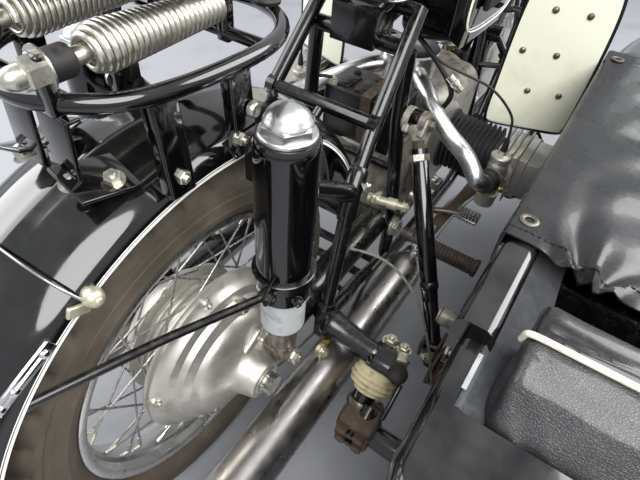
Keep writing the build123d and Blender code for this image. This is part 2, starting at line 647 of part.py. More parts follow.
BAR_Z = 932
BAR_X = steer_x(BAR_Z) + 16
with BuildPart() as handlebar:
    tube([(BAR_X - 200, -322, BAR_Z - 2), (BAR_X - 86, -296, BAR_Z + 30), (BAR_X, -110, BAR_Z),
          (BAR_X, 110, BAR_Z), (BAR_X - 86, 296, BAR_Z + 30), (BAR_X - 200, 322, BAR_Z - 2)], 11, 60)
    for side in (-1, 1):
        rod((BAR_X + 12, side * 45, 880), (BAR_X, side * 45, BAR_Z), 13)
        tube([(BAR_X - 92, side * 294, BAR_Z + 29), (BAR_X - 74, side * 334, BAR_Z + 20),
              (BAR_X - 186, side * 362, BAR_Z - 6)], 5, 20)
    add(fork.part, mode=Mode.SUBTRACT)
keep(handlebar.part, "handlebar")

# Sidecar chassis and its joints
with BuildPart() as sidecar_chassis:
    tube([(RAIL_BACK_X, RAIL_LEFT_Y, CHASSIS_Z), (RAIL_FRONT_X, RAIL_LEFT_Y, CHASSIS_Z),
          (RAIL_FRONT_X + 20, -660, CHASSIS_Z), (RAIL_FRONT_X - 60, RAIL_RIGHT_Y, CHASSIS_Z),
          (-180, RAIL_RIGHT_Y, CHASSIS_Z), (-180, RAIL_LEFT_Y - 10, CHASSIS_Z)], CHASSIS_R, 110)
    rod((420, RAIL_LEFT_Y - 5, CHASSIS_Z), (420, RAIL_RIGHT_Y + 5, CHASSIS_Z), CHASSIS_R - 2)
    rod((950, RAIL_LEFT_Y - 5, CHASSIS_Z), (950, RAIL_RIGHT_Y + 5, CHASSIS_Z), 12)
    for x, floor_z in ((-60, 239.6), (950, 240.6)):
        for y in (RAIL_LEFT_Y - 34, RAIL_RIGHT_Y + 90):
            rod((x, y, CHASSIS_Z), (x, y, floor_z), 14)
    rod((-60, RAIL_LEFT_Y - 5, CHASSIS_Z), (-60, RAIL_RIGHT_Y + 5, CHASSIS_Z), 12)
    block((400, RAIL_RIGHT_Y - 9, 222), (56, 20, 52))
keep(sidecar_chassis.part, "sidecar_chassis")

ARM_Y = -SIDE_TRACK + 93
with BuildPart() as side_arm:
    rod((400, ARM_Y, 232), (SIDE_LEAD, ARM_Y, AXLE_Z), 13)
    rod((400, RAIL_RIGHT_Y - 19.2, 232), (400, ARM_Y - 19, 232), 24)
    rod((SIDE_LEAD, ARM_Y + 9, AXLE_Z), (SIDE_LEAD, ARM_Y - 21, AXLE_Z), 28)
    rod((SIDE_LEAD, ARM_Y - 21, AXLE_Z), (SIDE_LEAD, -SIDE_TRACK - 58, AXLE_Z), AXLE_R)
    rod((SIDE_LEAD, -SIDE_TRACK - 36, AXLE_Z), (SIDE_LEAD, -SIDE_TRACK - 48, AXLE_Z), 15)
keep(side_arm.part, "side_arm")

# Upper struts and lower ball joints between the motorcycle and the chassis
STRUT_FOOT_Y = BODY_LEFT_Y + 50
STRUT_FRONT_X = DOWN_FOOT[0] + 135
with BuildPart() as upper_struts:
    front_x, front_y = down_tube(548)
    for top_x, top_y, top_z, foot_x in ((455, -100, 574, 284), (front_x, -front_y, 548, STRUT_FRONT_X)):
        head = Vector(top_x, top_y - 34, top_z)
        foot = Vector(foot_x, STRUT_FOOT_Y, 252)
        along = (foot - head).normalized()
        rod((top_x, top_y, top_z), head, 12)
        rod(head + Vector(0, 14, 0), head - Vector(0, 12, 0), 21)
        rod(head, head + along * 72, 10)
        rod(head + along * 50, head + along * 60, 16)
        rod(head + along * 58, foot, 14.5)
        rod((foot_x, STRUT_FOOT_Y + 20, 236), (foot_x, STRUT_FOOT_Y - 20, 236), 17)
        block((foot_x, (STRUT_FOOT_Y + RAIL_LEFT_Y) / 2, CHASSIS_Z + 10), (40, STRUT_FOOT_Y - RAIL_LEFT_Y, 40))
        block((foot_x, RAIL_LEFT_Y, CHASSIS_Z), (46, 50, 50))
    add(sidecar_chassis.part, mode=Mode.SUBTRACT)
    add(main_frame.part, mode=Mode.SUBTRACT)
keep(upper_struts.part, "upper_struts")

with BuildPart() as lower_joints:
    cone((165, -160.2, 308), (158, -270, 302), 24, 18)
    rod((158, -262, 303), (158, -318, 298), 22)
    with Locations((158, -296, 288)):
        Sphere(27)
    cone((155, -296, 280), (86, -296, 232), 15, 19)
    block((78, -290, 220), (54, 60, 52))
    for z in (206, 234):
        rod((40, -290, z), (116, -290, z), 7)
    rod((75, -262, 216), (75, RAIL_LEFT_Y, CHASSIS_Z + 4), CHASSIS_R - 2)
    block((75, RAIL_LEFT_Y, CHASSIS_Z), (54, 50, 50))
    rod((DOWN_FOOT[0], -139.2, 196), (DOWN_FOOT[0], RAIL_LEFT_Y, CHASSIS_Z - 2), 15)
    with Locations((DOWN_FOOT[0], -290, 200)):
        Sphere(25)
    block((DOWN_FOOT[0], RAIL_LEFT_Y, CHASSIS_Z), (54, 50, 50))
    add(sidecar_chassis.part, mode=Mode.SUBTRACT)
    add(rear_frame.part, mode=Mode.SUBTRACT)
    add(main_frame.part, mode=Mode.SUBTRACT)
keep(lower_joints.part, "lower_joints")

# Sidecar body
TAIL_X = -108
COCKPIT_BACK_X = -36
COCKPIT_FRONT_X = 834
DECK_EDGE_W = 25
# Sections of the body: x, width, low z, high z, corner radius
TAIL = ((-340, BODY_W - 380, 390, 505, 50), (-316, BODY_W - 250, 345, 545, 62), (-270, BODY_W - 140, 300, 574, 60),
        (-190, BODY_W - 46, 258, 594, 40), (TAIL_X, BODY_W, 240, DECK_Z, BODY_CORNER))
MIDDLE = ((TAIL_X, BODY_W, 240, DECK_Z, BODY_CORNER), (560, BODY_W, BODY_FLOOR_Z, DECK_Z, BODY_CORNER),
          (880, BODY_W, 240, 640, BODY_CORNER))
NOSE = ((880, BODY_W, 240, 640, BODY_CORNER), (1150, BODY_W - 60, 262, 636, 60), (1350, BODY_W - 180, 310, 590, 85),
        (1460, BODY_W - 320, 366, 528, 74), (1500, BODY_W - 430, 402, 492, 42))


def hull(sections, inset, ruled):
    """Lofts one length of the sidecar body through rounded sections."""
    with BuildPart() as length:
        for x, width, low, high, corner in sections:
            with BuildSketch(Plane(origin=(x, BODY_MID_Y, (low + high) / 2), x_dir=(0, 1, 0), z_dir=(1, 0, 0))):
                RectangleRounded(width - 2 * inset, high - low - 2 * inset, max(corner - inset, 12))
        loft(ruled=ruled)
    return length.part


def moved_end(sections, first, shift):
    """Moves the first or last section along X, so an inset hull gets its end walls."""
    rows = [list(row) for row in sections]
    rows[0 if first else -1][0] += shift
    return [tuple(row) for row in rows]


with BuildPart() as sidecar_body:
    for sections, ruled in ((TAIL, False), (MIDDLE, True), (NOSE, False)):
        add(hull(sections, 0, ruled))
    add(hull(moved_end(TAIL, True, WALL), WALL, False), mode=Mode.SUBTRACT)
    add(hull(MIDDLE, WALL, True), mode=Mode.SUBTRACT)
    add(hull(moved_end(NOSE, False, -WALL), WALL, False), mode=Mode.SUBTRACT)
    with BuildSketch(Plane.XY.offset(DECK_Z - 40)):
        with Locations(((COCKPIT_BACK_X + COCKPIT_FRONT_X) / 2, BODY_MID_Y)):
            RectangleRounded(COCKPIT_FRONT_X - COCKPIT_BACK_X, BODY_W - 2 * DECK_EDGE_W, 14)
    extrude(amount=120, mode=Mode.SUBTRACT)
keep(sidecar_body.part, "sidecar_body")

with BuildPart() as sidecar_coaming:
    for y in (BODY_LEFT_Y - 11, BODY_RIGHT_Y + 11):
        with BuildLine() as edge:
            run([(48, y, DECK_Z + 4), (560, y, DECK_Z + 4), (826, y, DECK_Z + 37.3)], 60)
        with BuildSketch(Plane(origin=(48, y, DECK_Z + 4), x_dir=(0, 1, 0), z_dir=(1, 0, 0))) as bead:
            RectangleRounded(46, 36, 13)
        sweep(bead.sketch, path=edge.line)
    add(sidecar_body.part, mode=Mode.SUBTRACT)
keep(sidecar_coaming.part, "sidecar_coaming")

with BuildPart() as seat_base:
    block((235, BODY_MID_Y, 291), (430, 500, 82))
keep(seat_base.part, "seat_base")

with BuildPart() as seat_cushion:
    block((262, BODY_MID_Y, 367), (400, 492, 69))
    fillet(seat_cushion.edges().group_by(Axis.Z)[-1], 20)
keep(seat_cushion.part, "seat_cushion")

with BuildPart() as seat_backrest:
    with BuildSketch(Plane.XZ) as side_view:
        with BuildLine():
            Polyline((56, 332.3), (40, 640), (34, 656), (20, 662), (-4, 646), (COCKPIT_BACK_X + 0.3, 606),
                     (COCKPIT_BACK_X + 0.3, 580), (-62, 560), (-62, 332.3), close=True)
        make_face()
    extrude(side_view.sketch, amount=240, both=True)
keep(Pos(0, BODY_MID_Y, 0) * seat_backrest.part, "seat_backrest")

COVER_FROM_X = 200
with BuildPart() as tonneau:
    with BuildSketch(Plane.XZ) as side_view:
        with BuildLine():
            Polyline((COVER_FROM_X, 622.4), (560, 622.4), (820, 655), (820, 660.5), (560, 628.4), (COVER_FROM_X, 628.4),
                     close=True)
        make_face()
    extrude(side_view.sketch, amount=BODY_W / 2 - 3, both=True)
    for side in (-1, 1):
        block(((COVER_FROM_X + 560) / 2, side * (BODY_W / 2 + 14.8), 592), (560 - COVER_FROM_X, 5, 72.8))
        block(((COVER_FROM_X + 560) / 2, side * (BODY_W / 2 + 6), 625.4), (560 - COVER_FROM_X, 20, 6))
keep(Pos(0, BODY_MID_Y, 0) * tonneau.part, "tonneau")

SCREEN_LEAN = 16
with BuildPart() as windscreen:
    with BuildSketch(Plane(origin=(868, BODY_MID_Y, 650), x_dir=(0, 1, 0),
                           z_dir=(cos(radians(SCREEN_LEAN)), 0, sin(radians(SCREEN_LEAN)))) ) as pane:
        with Locations((0, 125)):
            RectangleRounded(490, 250, 50)
    extrude(pane.sketch, amount=4)
keep(windscreen.part, "windscreen")

with BuildPart() as screen_clasps:
    for side in (-1, 1):
        block((866, BODY_MID_Y + side * 190, 650), (24, 30, 36))
    add(sidecar_body.part, mode=Mode.SUBTRACT)
    add(windscreen.part, mode=Mode.SUBTRACT)
keep(screen_clasps.part, "screen_clasps")

SIDE_GUARD = (SIDE_LEAD, AXLE_Z + 10)
SIDE_STAY_Y = -SIDE_TRACK + 79
with BuildPart() as side_shell:
    guard(SIDE_GUARD, 190, 182, 76, 350, 392, 8)
with BuildPart() as side_mudguard:
    add(Pos(0, -SIDE_TRACK, 0) * side_shell.part)
    for foot_x, x, z in ((-150, -193, 462), (470, 473, 462)):
        tube([(foot_x, RAIL_RIGHT_Y - 12, CHASSIS_Z), (x, SIDE_STAY_Y + 11, 330), (x, SIDE_STAY_Y, z)], 9, 40)
        rod((x, SIDE_STAY_Y + 5, z), (x, SIDE_STAY_Y - 3, z), 16)
    add(sidecar_chassis.part, mode=Mode.SUBTRACT)
keep(side_mudguard.part, "side_mudguard")

with BuildPart() as side_form:
    guard(SIDE_GUARD, 190, 182, 76, 350, 392, 8, filled=True)
with BuildPart() as sidecar_lamp:
    rod((360, 0, 700), (430, 0, 700), 34)
    cone((360, 0, 700), (320, 0, 700), 34, 12)
    rod((390, 0, 700), (372, 0, 640), 9)
    add(side_form.part, mode=Mode.SUBTRACT)
keep(Pos(0, -SIDE_TRACK, 0) * sidecar_lamp.part, "sidecar_lamp")
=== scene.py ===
"""Looks of the sidecar outfit: its finishes, close detail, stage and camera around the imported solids.

Sizes are in millimetres in the vehicle's own coordinates, as in the part's source: X forward from
the rear axle, Y left of the motorcycle's middle plane, Z up. at() takes them to the row's metres.
"""
from __future__ import annotations

import json
import logging
import math
from collections.abc import Callable, Iterator, Sequence
from contextlib import contextmanager
from dataclasses import dataclass, field
from enum import Enum

import bpy
from mathutils import Matrix, Vector
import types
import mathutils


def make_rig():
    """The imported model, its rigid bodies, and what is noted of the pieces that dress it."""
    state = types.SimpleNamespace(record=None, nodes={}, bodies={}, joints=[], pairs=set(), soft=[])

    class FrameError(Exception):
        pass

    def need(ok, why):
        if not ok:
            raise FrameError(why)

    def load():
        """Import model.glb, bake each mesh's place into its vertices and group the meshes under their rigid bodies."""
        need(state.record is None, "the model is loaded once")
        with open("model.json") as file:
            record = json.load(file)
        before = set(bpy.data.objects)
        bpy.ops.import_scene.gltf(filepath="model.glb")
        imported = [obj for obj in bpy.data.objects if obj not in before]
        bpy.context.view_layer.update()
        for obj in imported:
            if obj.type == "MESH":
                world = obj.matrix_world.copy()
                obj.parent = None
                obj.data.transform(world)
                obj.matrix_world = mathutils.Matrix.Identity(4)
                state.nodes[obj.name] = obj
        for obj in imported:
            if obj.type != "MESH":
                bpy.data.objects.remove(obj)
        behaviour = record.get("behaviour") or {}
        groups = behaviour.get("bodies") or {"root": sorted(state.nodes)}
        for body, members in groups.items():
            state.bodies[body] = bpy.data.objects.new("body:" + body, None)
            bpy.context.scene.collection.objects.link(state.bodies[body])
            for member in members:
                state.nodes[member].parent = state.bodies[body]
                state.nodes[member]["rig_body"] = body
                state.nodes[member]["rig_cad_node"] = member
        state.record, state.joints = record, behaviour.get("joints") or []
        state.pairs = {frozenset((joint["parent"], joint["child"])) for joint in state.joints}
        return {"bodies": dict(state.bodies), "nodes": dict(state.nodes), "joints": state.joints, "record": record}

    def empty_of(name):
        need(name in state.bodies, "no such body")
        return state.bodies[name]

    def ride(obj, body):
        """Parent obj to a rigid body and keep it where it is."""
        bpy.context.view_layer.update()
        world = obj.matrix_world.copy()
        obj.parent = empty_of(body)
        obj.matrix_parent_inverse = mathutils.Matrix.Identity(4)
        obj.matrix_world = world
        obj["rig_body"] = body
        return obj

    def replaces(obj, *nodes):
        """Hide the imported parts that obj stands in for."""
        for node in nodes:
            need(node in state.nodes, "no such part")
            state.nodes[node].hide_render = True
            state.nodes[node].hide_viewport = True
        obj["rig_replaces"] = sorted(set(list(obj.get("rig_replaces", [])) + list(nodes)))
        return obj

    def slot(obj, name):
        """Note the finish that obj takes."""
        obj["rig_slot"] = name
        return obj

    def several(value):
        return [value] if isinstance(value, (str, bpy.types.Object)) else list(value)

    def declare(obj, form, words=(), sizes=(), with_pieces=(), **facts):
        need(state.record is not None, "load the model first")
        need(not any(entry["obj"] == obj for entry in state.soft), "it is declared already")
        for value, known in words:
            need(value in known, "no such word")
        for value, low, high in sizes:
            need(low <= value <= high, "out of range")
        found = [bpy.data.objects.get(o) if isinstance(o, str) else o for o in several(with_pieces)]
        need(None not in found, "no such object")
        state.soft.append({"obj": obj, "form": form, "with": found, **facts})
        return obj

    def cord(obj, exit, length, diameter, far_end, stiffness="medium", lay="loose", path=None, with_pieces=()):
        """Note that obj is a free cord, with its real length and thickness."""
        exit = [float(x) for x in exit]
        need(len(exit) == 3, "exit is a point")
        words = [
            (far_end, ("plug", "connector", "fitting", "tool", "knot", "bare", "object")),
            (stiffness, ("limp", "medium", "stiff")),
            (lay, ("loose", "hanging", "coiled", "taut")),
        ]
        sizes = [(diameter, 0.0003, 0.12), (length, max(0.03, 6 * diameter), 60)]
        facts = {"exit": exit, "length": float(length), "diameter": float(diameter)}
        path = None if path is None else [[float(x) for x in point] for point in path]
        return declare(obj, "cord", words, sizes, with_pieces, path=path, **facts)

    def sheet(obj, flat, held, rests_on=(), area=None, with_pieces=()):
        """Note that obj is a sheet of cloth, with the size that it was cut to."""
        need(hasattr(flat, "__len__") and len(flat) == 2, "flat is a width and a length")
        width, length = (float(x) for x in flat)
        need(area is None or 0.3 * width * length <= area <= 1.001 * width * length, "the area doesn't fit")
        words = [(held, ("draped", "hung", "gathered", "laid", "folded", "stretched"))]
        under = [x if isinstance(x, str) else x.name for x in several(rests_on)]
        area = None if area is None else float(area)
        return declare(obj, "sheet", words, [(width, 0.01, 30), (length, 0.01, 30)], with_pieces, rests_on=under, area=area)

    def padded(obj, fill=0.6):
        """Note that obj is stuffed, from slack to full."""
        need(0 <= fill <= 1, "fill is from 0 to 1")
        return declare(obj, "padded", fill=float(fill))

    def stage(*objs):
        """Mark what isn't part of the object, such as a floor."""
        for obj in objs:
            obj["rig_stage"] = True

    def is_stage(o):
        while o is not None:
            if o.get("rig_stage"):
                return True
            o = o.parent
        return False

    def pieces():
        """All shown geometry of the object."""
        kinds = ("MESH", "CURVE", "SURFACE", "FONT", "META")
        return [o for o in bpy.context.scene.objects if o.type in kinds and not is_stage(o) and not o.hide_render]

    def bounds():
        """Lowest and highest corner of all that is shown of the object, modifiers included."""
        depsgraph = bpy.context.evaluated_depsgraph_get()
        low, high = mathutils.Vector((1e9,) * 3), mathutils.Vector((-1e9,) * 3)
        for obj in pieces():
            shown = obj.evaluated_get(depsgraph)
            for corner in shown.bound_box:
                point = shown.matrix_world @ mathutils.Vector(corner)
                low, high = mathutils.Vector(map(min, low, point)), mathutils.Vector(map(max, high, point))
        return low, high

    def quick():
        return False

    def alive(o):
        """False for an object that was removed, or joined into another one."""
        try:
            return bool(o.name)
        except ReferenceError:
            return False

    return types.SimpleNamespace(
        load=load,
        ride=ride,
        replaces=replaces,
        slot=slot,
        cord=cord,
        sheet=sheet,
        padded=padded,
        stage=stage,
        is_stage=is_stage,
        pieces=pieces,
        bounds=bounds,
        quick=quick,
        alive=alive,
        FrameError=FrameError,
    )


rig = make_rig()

LOG = logging.getLogger("outfit")
MM = 0.001
ORIGIN = (663.0, -412.0, 0.0)
AXLE_Z = 326.0
CLOTH_FRAMES = 20
COAT_ROUGHNESS = 0.04
DUST_ROUGHNESS = 0.75
CLEARNESS = 0.92
Point = Sequence[float]
Rows = Sequence[Point]
Profile = list[tuple[float, float]]
Pieces = list[bpy.types.Object]
AHEAD, BACK = (1, 0, 0), (-1, 0, 0)
LEFT, RIGHT = (0, 1, 0), (0, -1, 0)
UP, DOWN = (0, 0, 1), (0, 0, -1)


def at(x: float, y: float, z: float) -> Vector:
    """Takes a point in vehicle millimetres to the row's metres."""
    return Vector(((x - ORIGIN[0]) * MM, (y - ORIGIN[1]) * MM, z * MM))


def linear(colour: str) -> tuple[float, float, float, float]:
    """Turns an sRGB hex colour to linear light.

    Args:
        colour: six hex digits.

    Returns:
        Red, green, blue and an alpha of one.
    """
    parts = [int(colour[place : place + 2], 16) / 255 for place in (0, 2, 4)]
    lit = [part / 12.92 if part <= 0.04045 else ((part + 0.055) / 1.055) ** 2.4 for part in parts]
    return lit[0], lit[1], lit[2], 1.0


def add_node(
    tree: bpy.types.NodeTree,
    kind: str,
    settings: dict[str | int, object] | None = None,
    links: dict[str | int, bpy.types.NodeSocket] | None = None,
) -> bpy.types.Node:
    """Adds a node with its settings and its incoming links.

    Args:
        tree: the node tree that it goes into.
        kind: the node's type.
        settings: values by input name or number, or by attribute name.
        links: output sockets by the input that each one feeds.

    Returns:
        The new node.
    """
    node = tree.nodes.new(kind)
    for key, value in (settings or {}).items():
        if isinstance(key, int):
            node.inputs[key].default_value = value
        elif hasattr(node, key):
            setattr(node, key, value)
        else:
            node.inputs[key].default_value = value
    for key, socket in (links or {}).items():
        tree.links.new(socket, node.inputs[key])
    return node


class Grain(Enum):
    """The relief that a surface keeps from how it was made."""

    PEEL = "the faint waves of brushed or stoved enamel"
    CAST = "sand casting, fine pits and grit"
    DRAWN = "lines along the piece from drawing or polishing"
    PEBBLE = "embossed leather grain"
    PILE = "short matted fibres"
    MOULD = "the fine matt skin of moulded rubber"


@dataclass(frozen=True)
class Finish:
    """A surface: its colours, its wear and its relief."""

    name: str
    slot: str
    colour: str
    worn: str
    roughness: float
    metallic: float = 0.0
    spread: float = 0.08
    patch_mm: float = 30.0
    patch_from: float = 0.5
    patch_to: float = 0.7
    grain: Grain = Grain.PEEL
    grain_mm: float = 1.2
    depth_mm: float = 0.01
    dust: float = 0.0
    dust_colour: str = "8d8272"
    coat: float = 0.0
    sheen: float = 0.0

    def height(self, tree: bpy.types.NodeTree, place: bpy.types.NodeSocket) -> bpy.types.NodeSocket:
        """Lays the relief pattern.

        Args:
            tree: the material's node tree.
            place: the object coordinates.

        Returns:
            A height from 0 to 1.
        """
        scale = 1 / (self.grain_mm * MM)
        if self.grain is Grain.PEBBLE:
            bend = add_node(tree, "ShaderNodeTexNoise", {"Scale": scale * 0.5, "Detail": 2.0}, {"Vector": place})
            moved = add_node(tree, "ShaderNodeVectorMath", {"operation": "SCALE", "Scale": 0.7 * self.grain_mm * MM},
                             {0: bend.outputs["Color"]})
            where = add_node(tree, "ShaderNodeVectorMath", {"operation": "ADD"}, {0: place, 1: moved.outputs[0]})
            cells = add_node(tree, "ShaderNodeTexVoronoi", {"feature": "DISTANCE_TO_EDGE", "Scale": scale},
                             {"Vector": where.outputs[0]})
            return add_node(tree, "ShaderNodeMapRange", {"From Max": 0.22, "interpolation_type": "SMOOTHSTEP"},
                            {"Value": cells.outputs["Distance"]}).outputs[0]
        if self.grain is Grain.DRAWN:
            squeezed = add_node(tree, "ShaderNodeMapping", {"Scale": (0.06, 1.0, 1.0)}, {"Vector": place})
            lines = add_node(tree, "ShaderNodeTexNoise", {"Scale": scale, "Detail": 3.0},
                             {"Vector": squeezed.outputs[0]})
            return lines.outputs["Fac"]
        if self.grain is Grain.CAST:
            grit = add_node(tree, "ShaderNodeTexNoise", {"Scale": scale, "Detail": 5.0, "Roughness": 0.7},
                            {"Vector": place})
            pits = add_node(tree, "ShaderNodeTexVoronoi", {"Scale": scale * 0.35}, {"Vector": place})
            worn = add_node(tree, "ShaderNodeMapRange", {"From Max": 0.25}, {"Value": pits.outputs["Distance"]})
            return add_node(tree, "ShaderNodeMath", {"operation": "MULTIPLY"},
                            {0: grit.outputs["Fac"], 1: worn.outputs[0]}).outputs[0]
        detail = {Grain.PILE: 6.0, Grain.MOULD: 4.0, Grain.PEEL: 1.0}[self.grain]
        return add_node(tree, "ShaderNodeTexNoise", {"Scale": scale, "Detail": detail, "Roughness": 0.6},
                        {"Vector": place}).outputs["Fac"]

    def paint(self, tree: bpy.types.NodeTree, place: bpy.types.NodeSocket) -> bpy.types.NodeSocket:
        """Lays the colour: the fresh one, with patches of the worn one.

        Args:
            tree: the material's node tree.
            place: the object coordinates.

        Returns:
            The colour.
        """
        cloud = add_node(tree, "ShaderNodeTexNoise",
                         {"Scale": 1 / (self.patch_mm * MM), "Detail": 6.0, "Roughness": 0.62}, {"Vector": place})
        share = add_node(tree, "ShaderNodeMapRange",
                         {"From Min": self.patch_from, "From Max": self.patch_to, "interpolation_type": "SMOOTHSTEP"},
                         {"Value": cloud.outputs["Fac"]})
        mixed = add_node(tree, "ShaderNodeMix", {"data_type": "RGBA", 6: linear(self.colour), 7: linear(self.worn)},
                         {0: share.outputs[0]})
        return mixed.outputs[2]

    def material(self) -> bpy.types.Material:
        """Builds the material once and returns it."""
        known = bpy.data.materials.get(self.name)
        if known:
            return known
        made = bpy.data.materials.new(self.name)
        made.use_nodes = True
        tree = made.node_tree
        shader = tree.nodes["Principled BSDF"]
        place = add_node(tree, "ShaderNodeTexCoord").outputs["Object"]
        colour = self.paint(tree, place)
        smear = add_node(tree, "ShaderNodeTexNoise", {"Scale": 1 / (self.patch_mm * 0.45 * MM), "Detail": 5.0},
                         {"Vector": place})
        rough = add_node(tree, "ShaderNodeMapRange",
                         {"From Min": 0.3, "From Max": 0.7, "To Min": max(self.roughness - self.spread, 0.02),
                          "To Max": self.roughness + self.spread}, {"Value": smear.outputs["Fac"]}).outputs[0]
        if self.dust > 0:
            facing = add_node(tree, "ShaderNodeSeparateXYZ",
                              links={0: add_node(tree, "ShaderNodeNewGeometry").outputs["Normal"]})
            upward = add_node(tree, "ShaderNodeMapRange", {"From Min": 0.25, "From Max": 0.95, "To Max": self.dust},
                              {"Value": facing.outputs["Z"]})
            drift = add_node(tree, "ShaderNodeMapRange", {"From Min": 0.35, "From Max": 0.65},
                             {"Value": smear.outputs["Fac"]})
            share = add_node(tree, "ShaderNodeMath", {"operation": "MULTIPLY"},
                             {0: upward.outputs[0], 1: drift.outputs[0]}).outputs[0]
            colour = add_node(tree, "ShaderNodeMix", {"data_type": "RGBA", 7: linear(self.dust_colour)},
                              {0: share, 6: colour}).outputs[2]
            rough = add_node(tree, "ShaderNodeMix", {3: DUST_ROUGHNESS}, {0: share, 2: rough}).outputs[0]
        bump = add_node(tree, "ShaderNodeBump", {"Strength": 1.0, "Distance": self.depth_mm * MM},
                        {"Height": self.height(tree, place)})
        tree.links.new(colour, shader.inputs["Base Color"])
        tree.links.new(rough, shader.inputs["Roughness"])
        tree.links.new(bump.outputs[0], shader.inputs["Normal"])
        shader.inputs["Metallic"].default_value = self.metallic
        shader.inputs["Coat Weight"].default_value = self.coat
        shader.inputs["Coat Roughness"].default_value = COAT_ROUGHNESS
        shader.inputs["Sheen Weight"].default_value = self.sheen
        return made


@dataclass(frozen=True)
class ClearSheet(Finish):
    """A see-through sheet or lens: light passes, and its own colour tints it."""

    def material(self) -> bpy.types.Material:
        """Builds the material once and returns it."""
        known = bpy.data.materials.get(self.name)
        made = super().material()
        if not known:
            made.node_tree.nodes["Principled BSDF"].inputs["Transmission Weight"].default_value = CLEARNESS
        return made


# Stoved black enamel: deep gloss that mirrors the room, with a thin film of pale dust on what faces up.
BLACK = Finish("stoved_black_enamel", "black_paint", "050506", "0a0909", 0.07, spread=0.03, patch_mm=90,
               patch_from=0.55, patch_to=0.8, grain_mm=14.0, depth_mm=0.04, dust=0.1, dust_colour="77736c", coat=0.5)
# The same enamel on the crown of the mudguards, where road dust settles and dries in blotches.
GUARD_BLACK = Finish("dusty_black_enamel", "black_paint", "050506", "0d0c0c", 0.08, spread=0.03, patch_mm=70,
                     patch_from=0.5, patch_to=0.8, grain_mm=16.0, depth_mm=0.04, dust=0.1, dust_colour="4a443d",
                     coat=0.5)
# The same enamel on tubes and brackets near the road: duller, grimy in the corners.
FRAME_BLACK = Finish("road_worn_black_enamel", "black_paint", "0a0a0b", "1b1815", 0.2, spread=0.07, patch_mm=22,
                     patch_from=0.58, patch_to=0.85, grain_mm=3.5, depth_mm=0.05, dust=0.16, dust_colour="5b5348",
                     coat=0.3)
# Ivory enamel of the leg shields, faintly yellowed.
IVORY = Finish("ivory_enamel", "cream_paint", "e6e6d2", "d9d7bf", 0.16, spread=0.04, patch_mm=120, grain_mm=9.0,
               depth_mm=0.03, dust=0.05, coat=0.4)
# White lining paint of the pinstripes.
LINING_WHITE = Finish("white_lining_paint", "cream_paint", "eceae2", "c9c4b6", 0.3, patch_mm=20, patch_from=0.6,
                      patch_to=0.9)
# Sand-cast aluminium of the housings: warm grey, gritty, with brown oil stains in the low spots.
CAST = Finish("sand_cast_aluminium", "cast_alloy", "c2beb6", "928c82", 0.38, 0.8, 0.08, 40, 0.5, 0.86, Grain.CAST,
              1.3, 0.07, dust=0.14, dust_colour="7d7364")
# Cast aluminium low on the gearbox, where oil and dust have baked on: brown grey and matt.
OILY_CAST = Finish("oil_stained_cast_aluminium", "cast_alloy", "a09a90", "5a5148", 0.48, 0.6, 0.1, 30, 0.42, 0.74,
                   Grain.CAST, 1.3, 0.1, dust=0.25, dust_colour="6c6152")
# Polished aluminium of rims, caps and pipes: bright, with soft bands and dull bloom.
POLISHED = Finish("polished_aluminium", "polished_alloy", "d8d8d6", "aba79f", 0.3, 1.0, 0.06, 40, 0.55, 0.85,
                  Grain.DRAWN, 0.8, 0.008)
# Zinc-plated steel: pale grey with a yellowish bloom.
ZINC = Finish("zinc_plated_steel", "zinc_alloy", "c2bfb4", "9a8c6e", 0.3, 0.9, 0.08, 12, 0.52, 0.8, Grain.CAST, 0.8,
              0.015)
# Spring steel, once plated: silver wire browned in the gaps.
SPRING = Finish("plated_spring_wire", "bright_steel", "d6d1c6", "a89a84", 0.36, 1.0, 0.08, 14, 0.55, 0.8, Grain.DRAWN,
                0.6, 0.008)
# Drawn steel of spokes, rods and spindles: grey wire with a fine grain and light brown tarnish.
STEEL = Finish("drawn_steel_wire", "bright_steel", "b3b1ac", "7b7063", 0.28, 0.95, 0.08, 12, 0.55, 0.8, Grain.DRAWN,
               0.5, 0.008)
# Forged or turned steel with a brown film of oil: dull, warm grey.
DULL = Finish("oiled_dull_steel", "dull_steel", "7a746a", "4d4236", 0.4, 0.8, 0.1, 16, 0.45, 0.72, Grain.CAST, 1.0,
              0.04, dust=0.15)
# Bare steel gone to thin even rust, brown and matt.
RUSTY = Finish("thinly_rusted_steel", "dull_steel", "5c4e43", "7a5a44", 0.58, 0.45, 0.1, 9, 0.42, 0.7, Grain.CAST,
               0.9, 0.08, dust=0.2)
# Cast iron of the barrels: dark, dry and rusty at the fin roots.
IRON = Finish("cast_iron", "cast_iron", "35312e", "4c3d33", 0.55, 0.5, 0.1, 14, 0.5, 0.75, Grain.CAST, 1.0, 0.06)
# Old chromium plate on the silencers: grey mirror, hazed and finely scratched along its length.
CHROME = Finish("hazed_chromium_plate", "chrome", "cac6c3", "a8a29b", 0.29, 1.0, 0.06, 60, 0.5, 0.86, Grain.DRAWN,
                1.0, 0.008, dust=0.14, dust_colour="6f675d")
# Sharp chromium plate on trim.
CHROME_TRIM = Finish("bright_chromium_plate", "chrome", "dadada", "b5b2ad", 0.07, 1.0, 0.03, 30, 0.6, 0.85,
                     Grain.PEEL, 4.0, 0.008)
# Brass: warm yellow under a brown tarnish.
BRASS = Finish("tarnished_brass", "zinc_alloy", "b59a5c", "7c6238", 0.34, 0.95, 0.08, 8, 0.5, 0.75, Grain.CAST, 0.8,
               0.015)
# Cast white metal of fittings and float bowls: pale yellow grey, satin.
WHITE_METAL = Finish("die_cast_zinc", "zinc_alloy", "c9c4af", "a1977a", 0.36, 0.7, 0.08, 14, 0.5, 0.8, Grain.CAST,
                     1.0, 0.03)
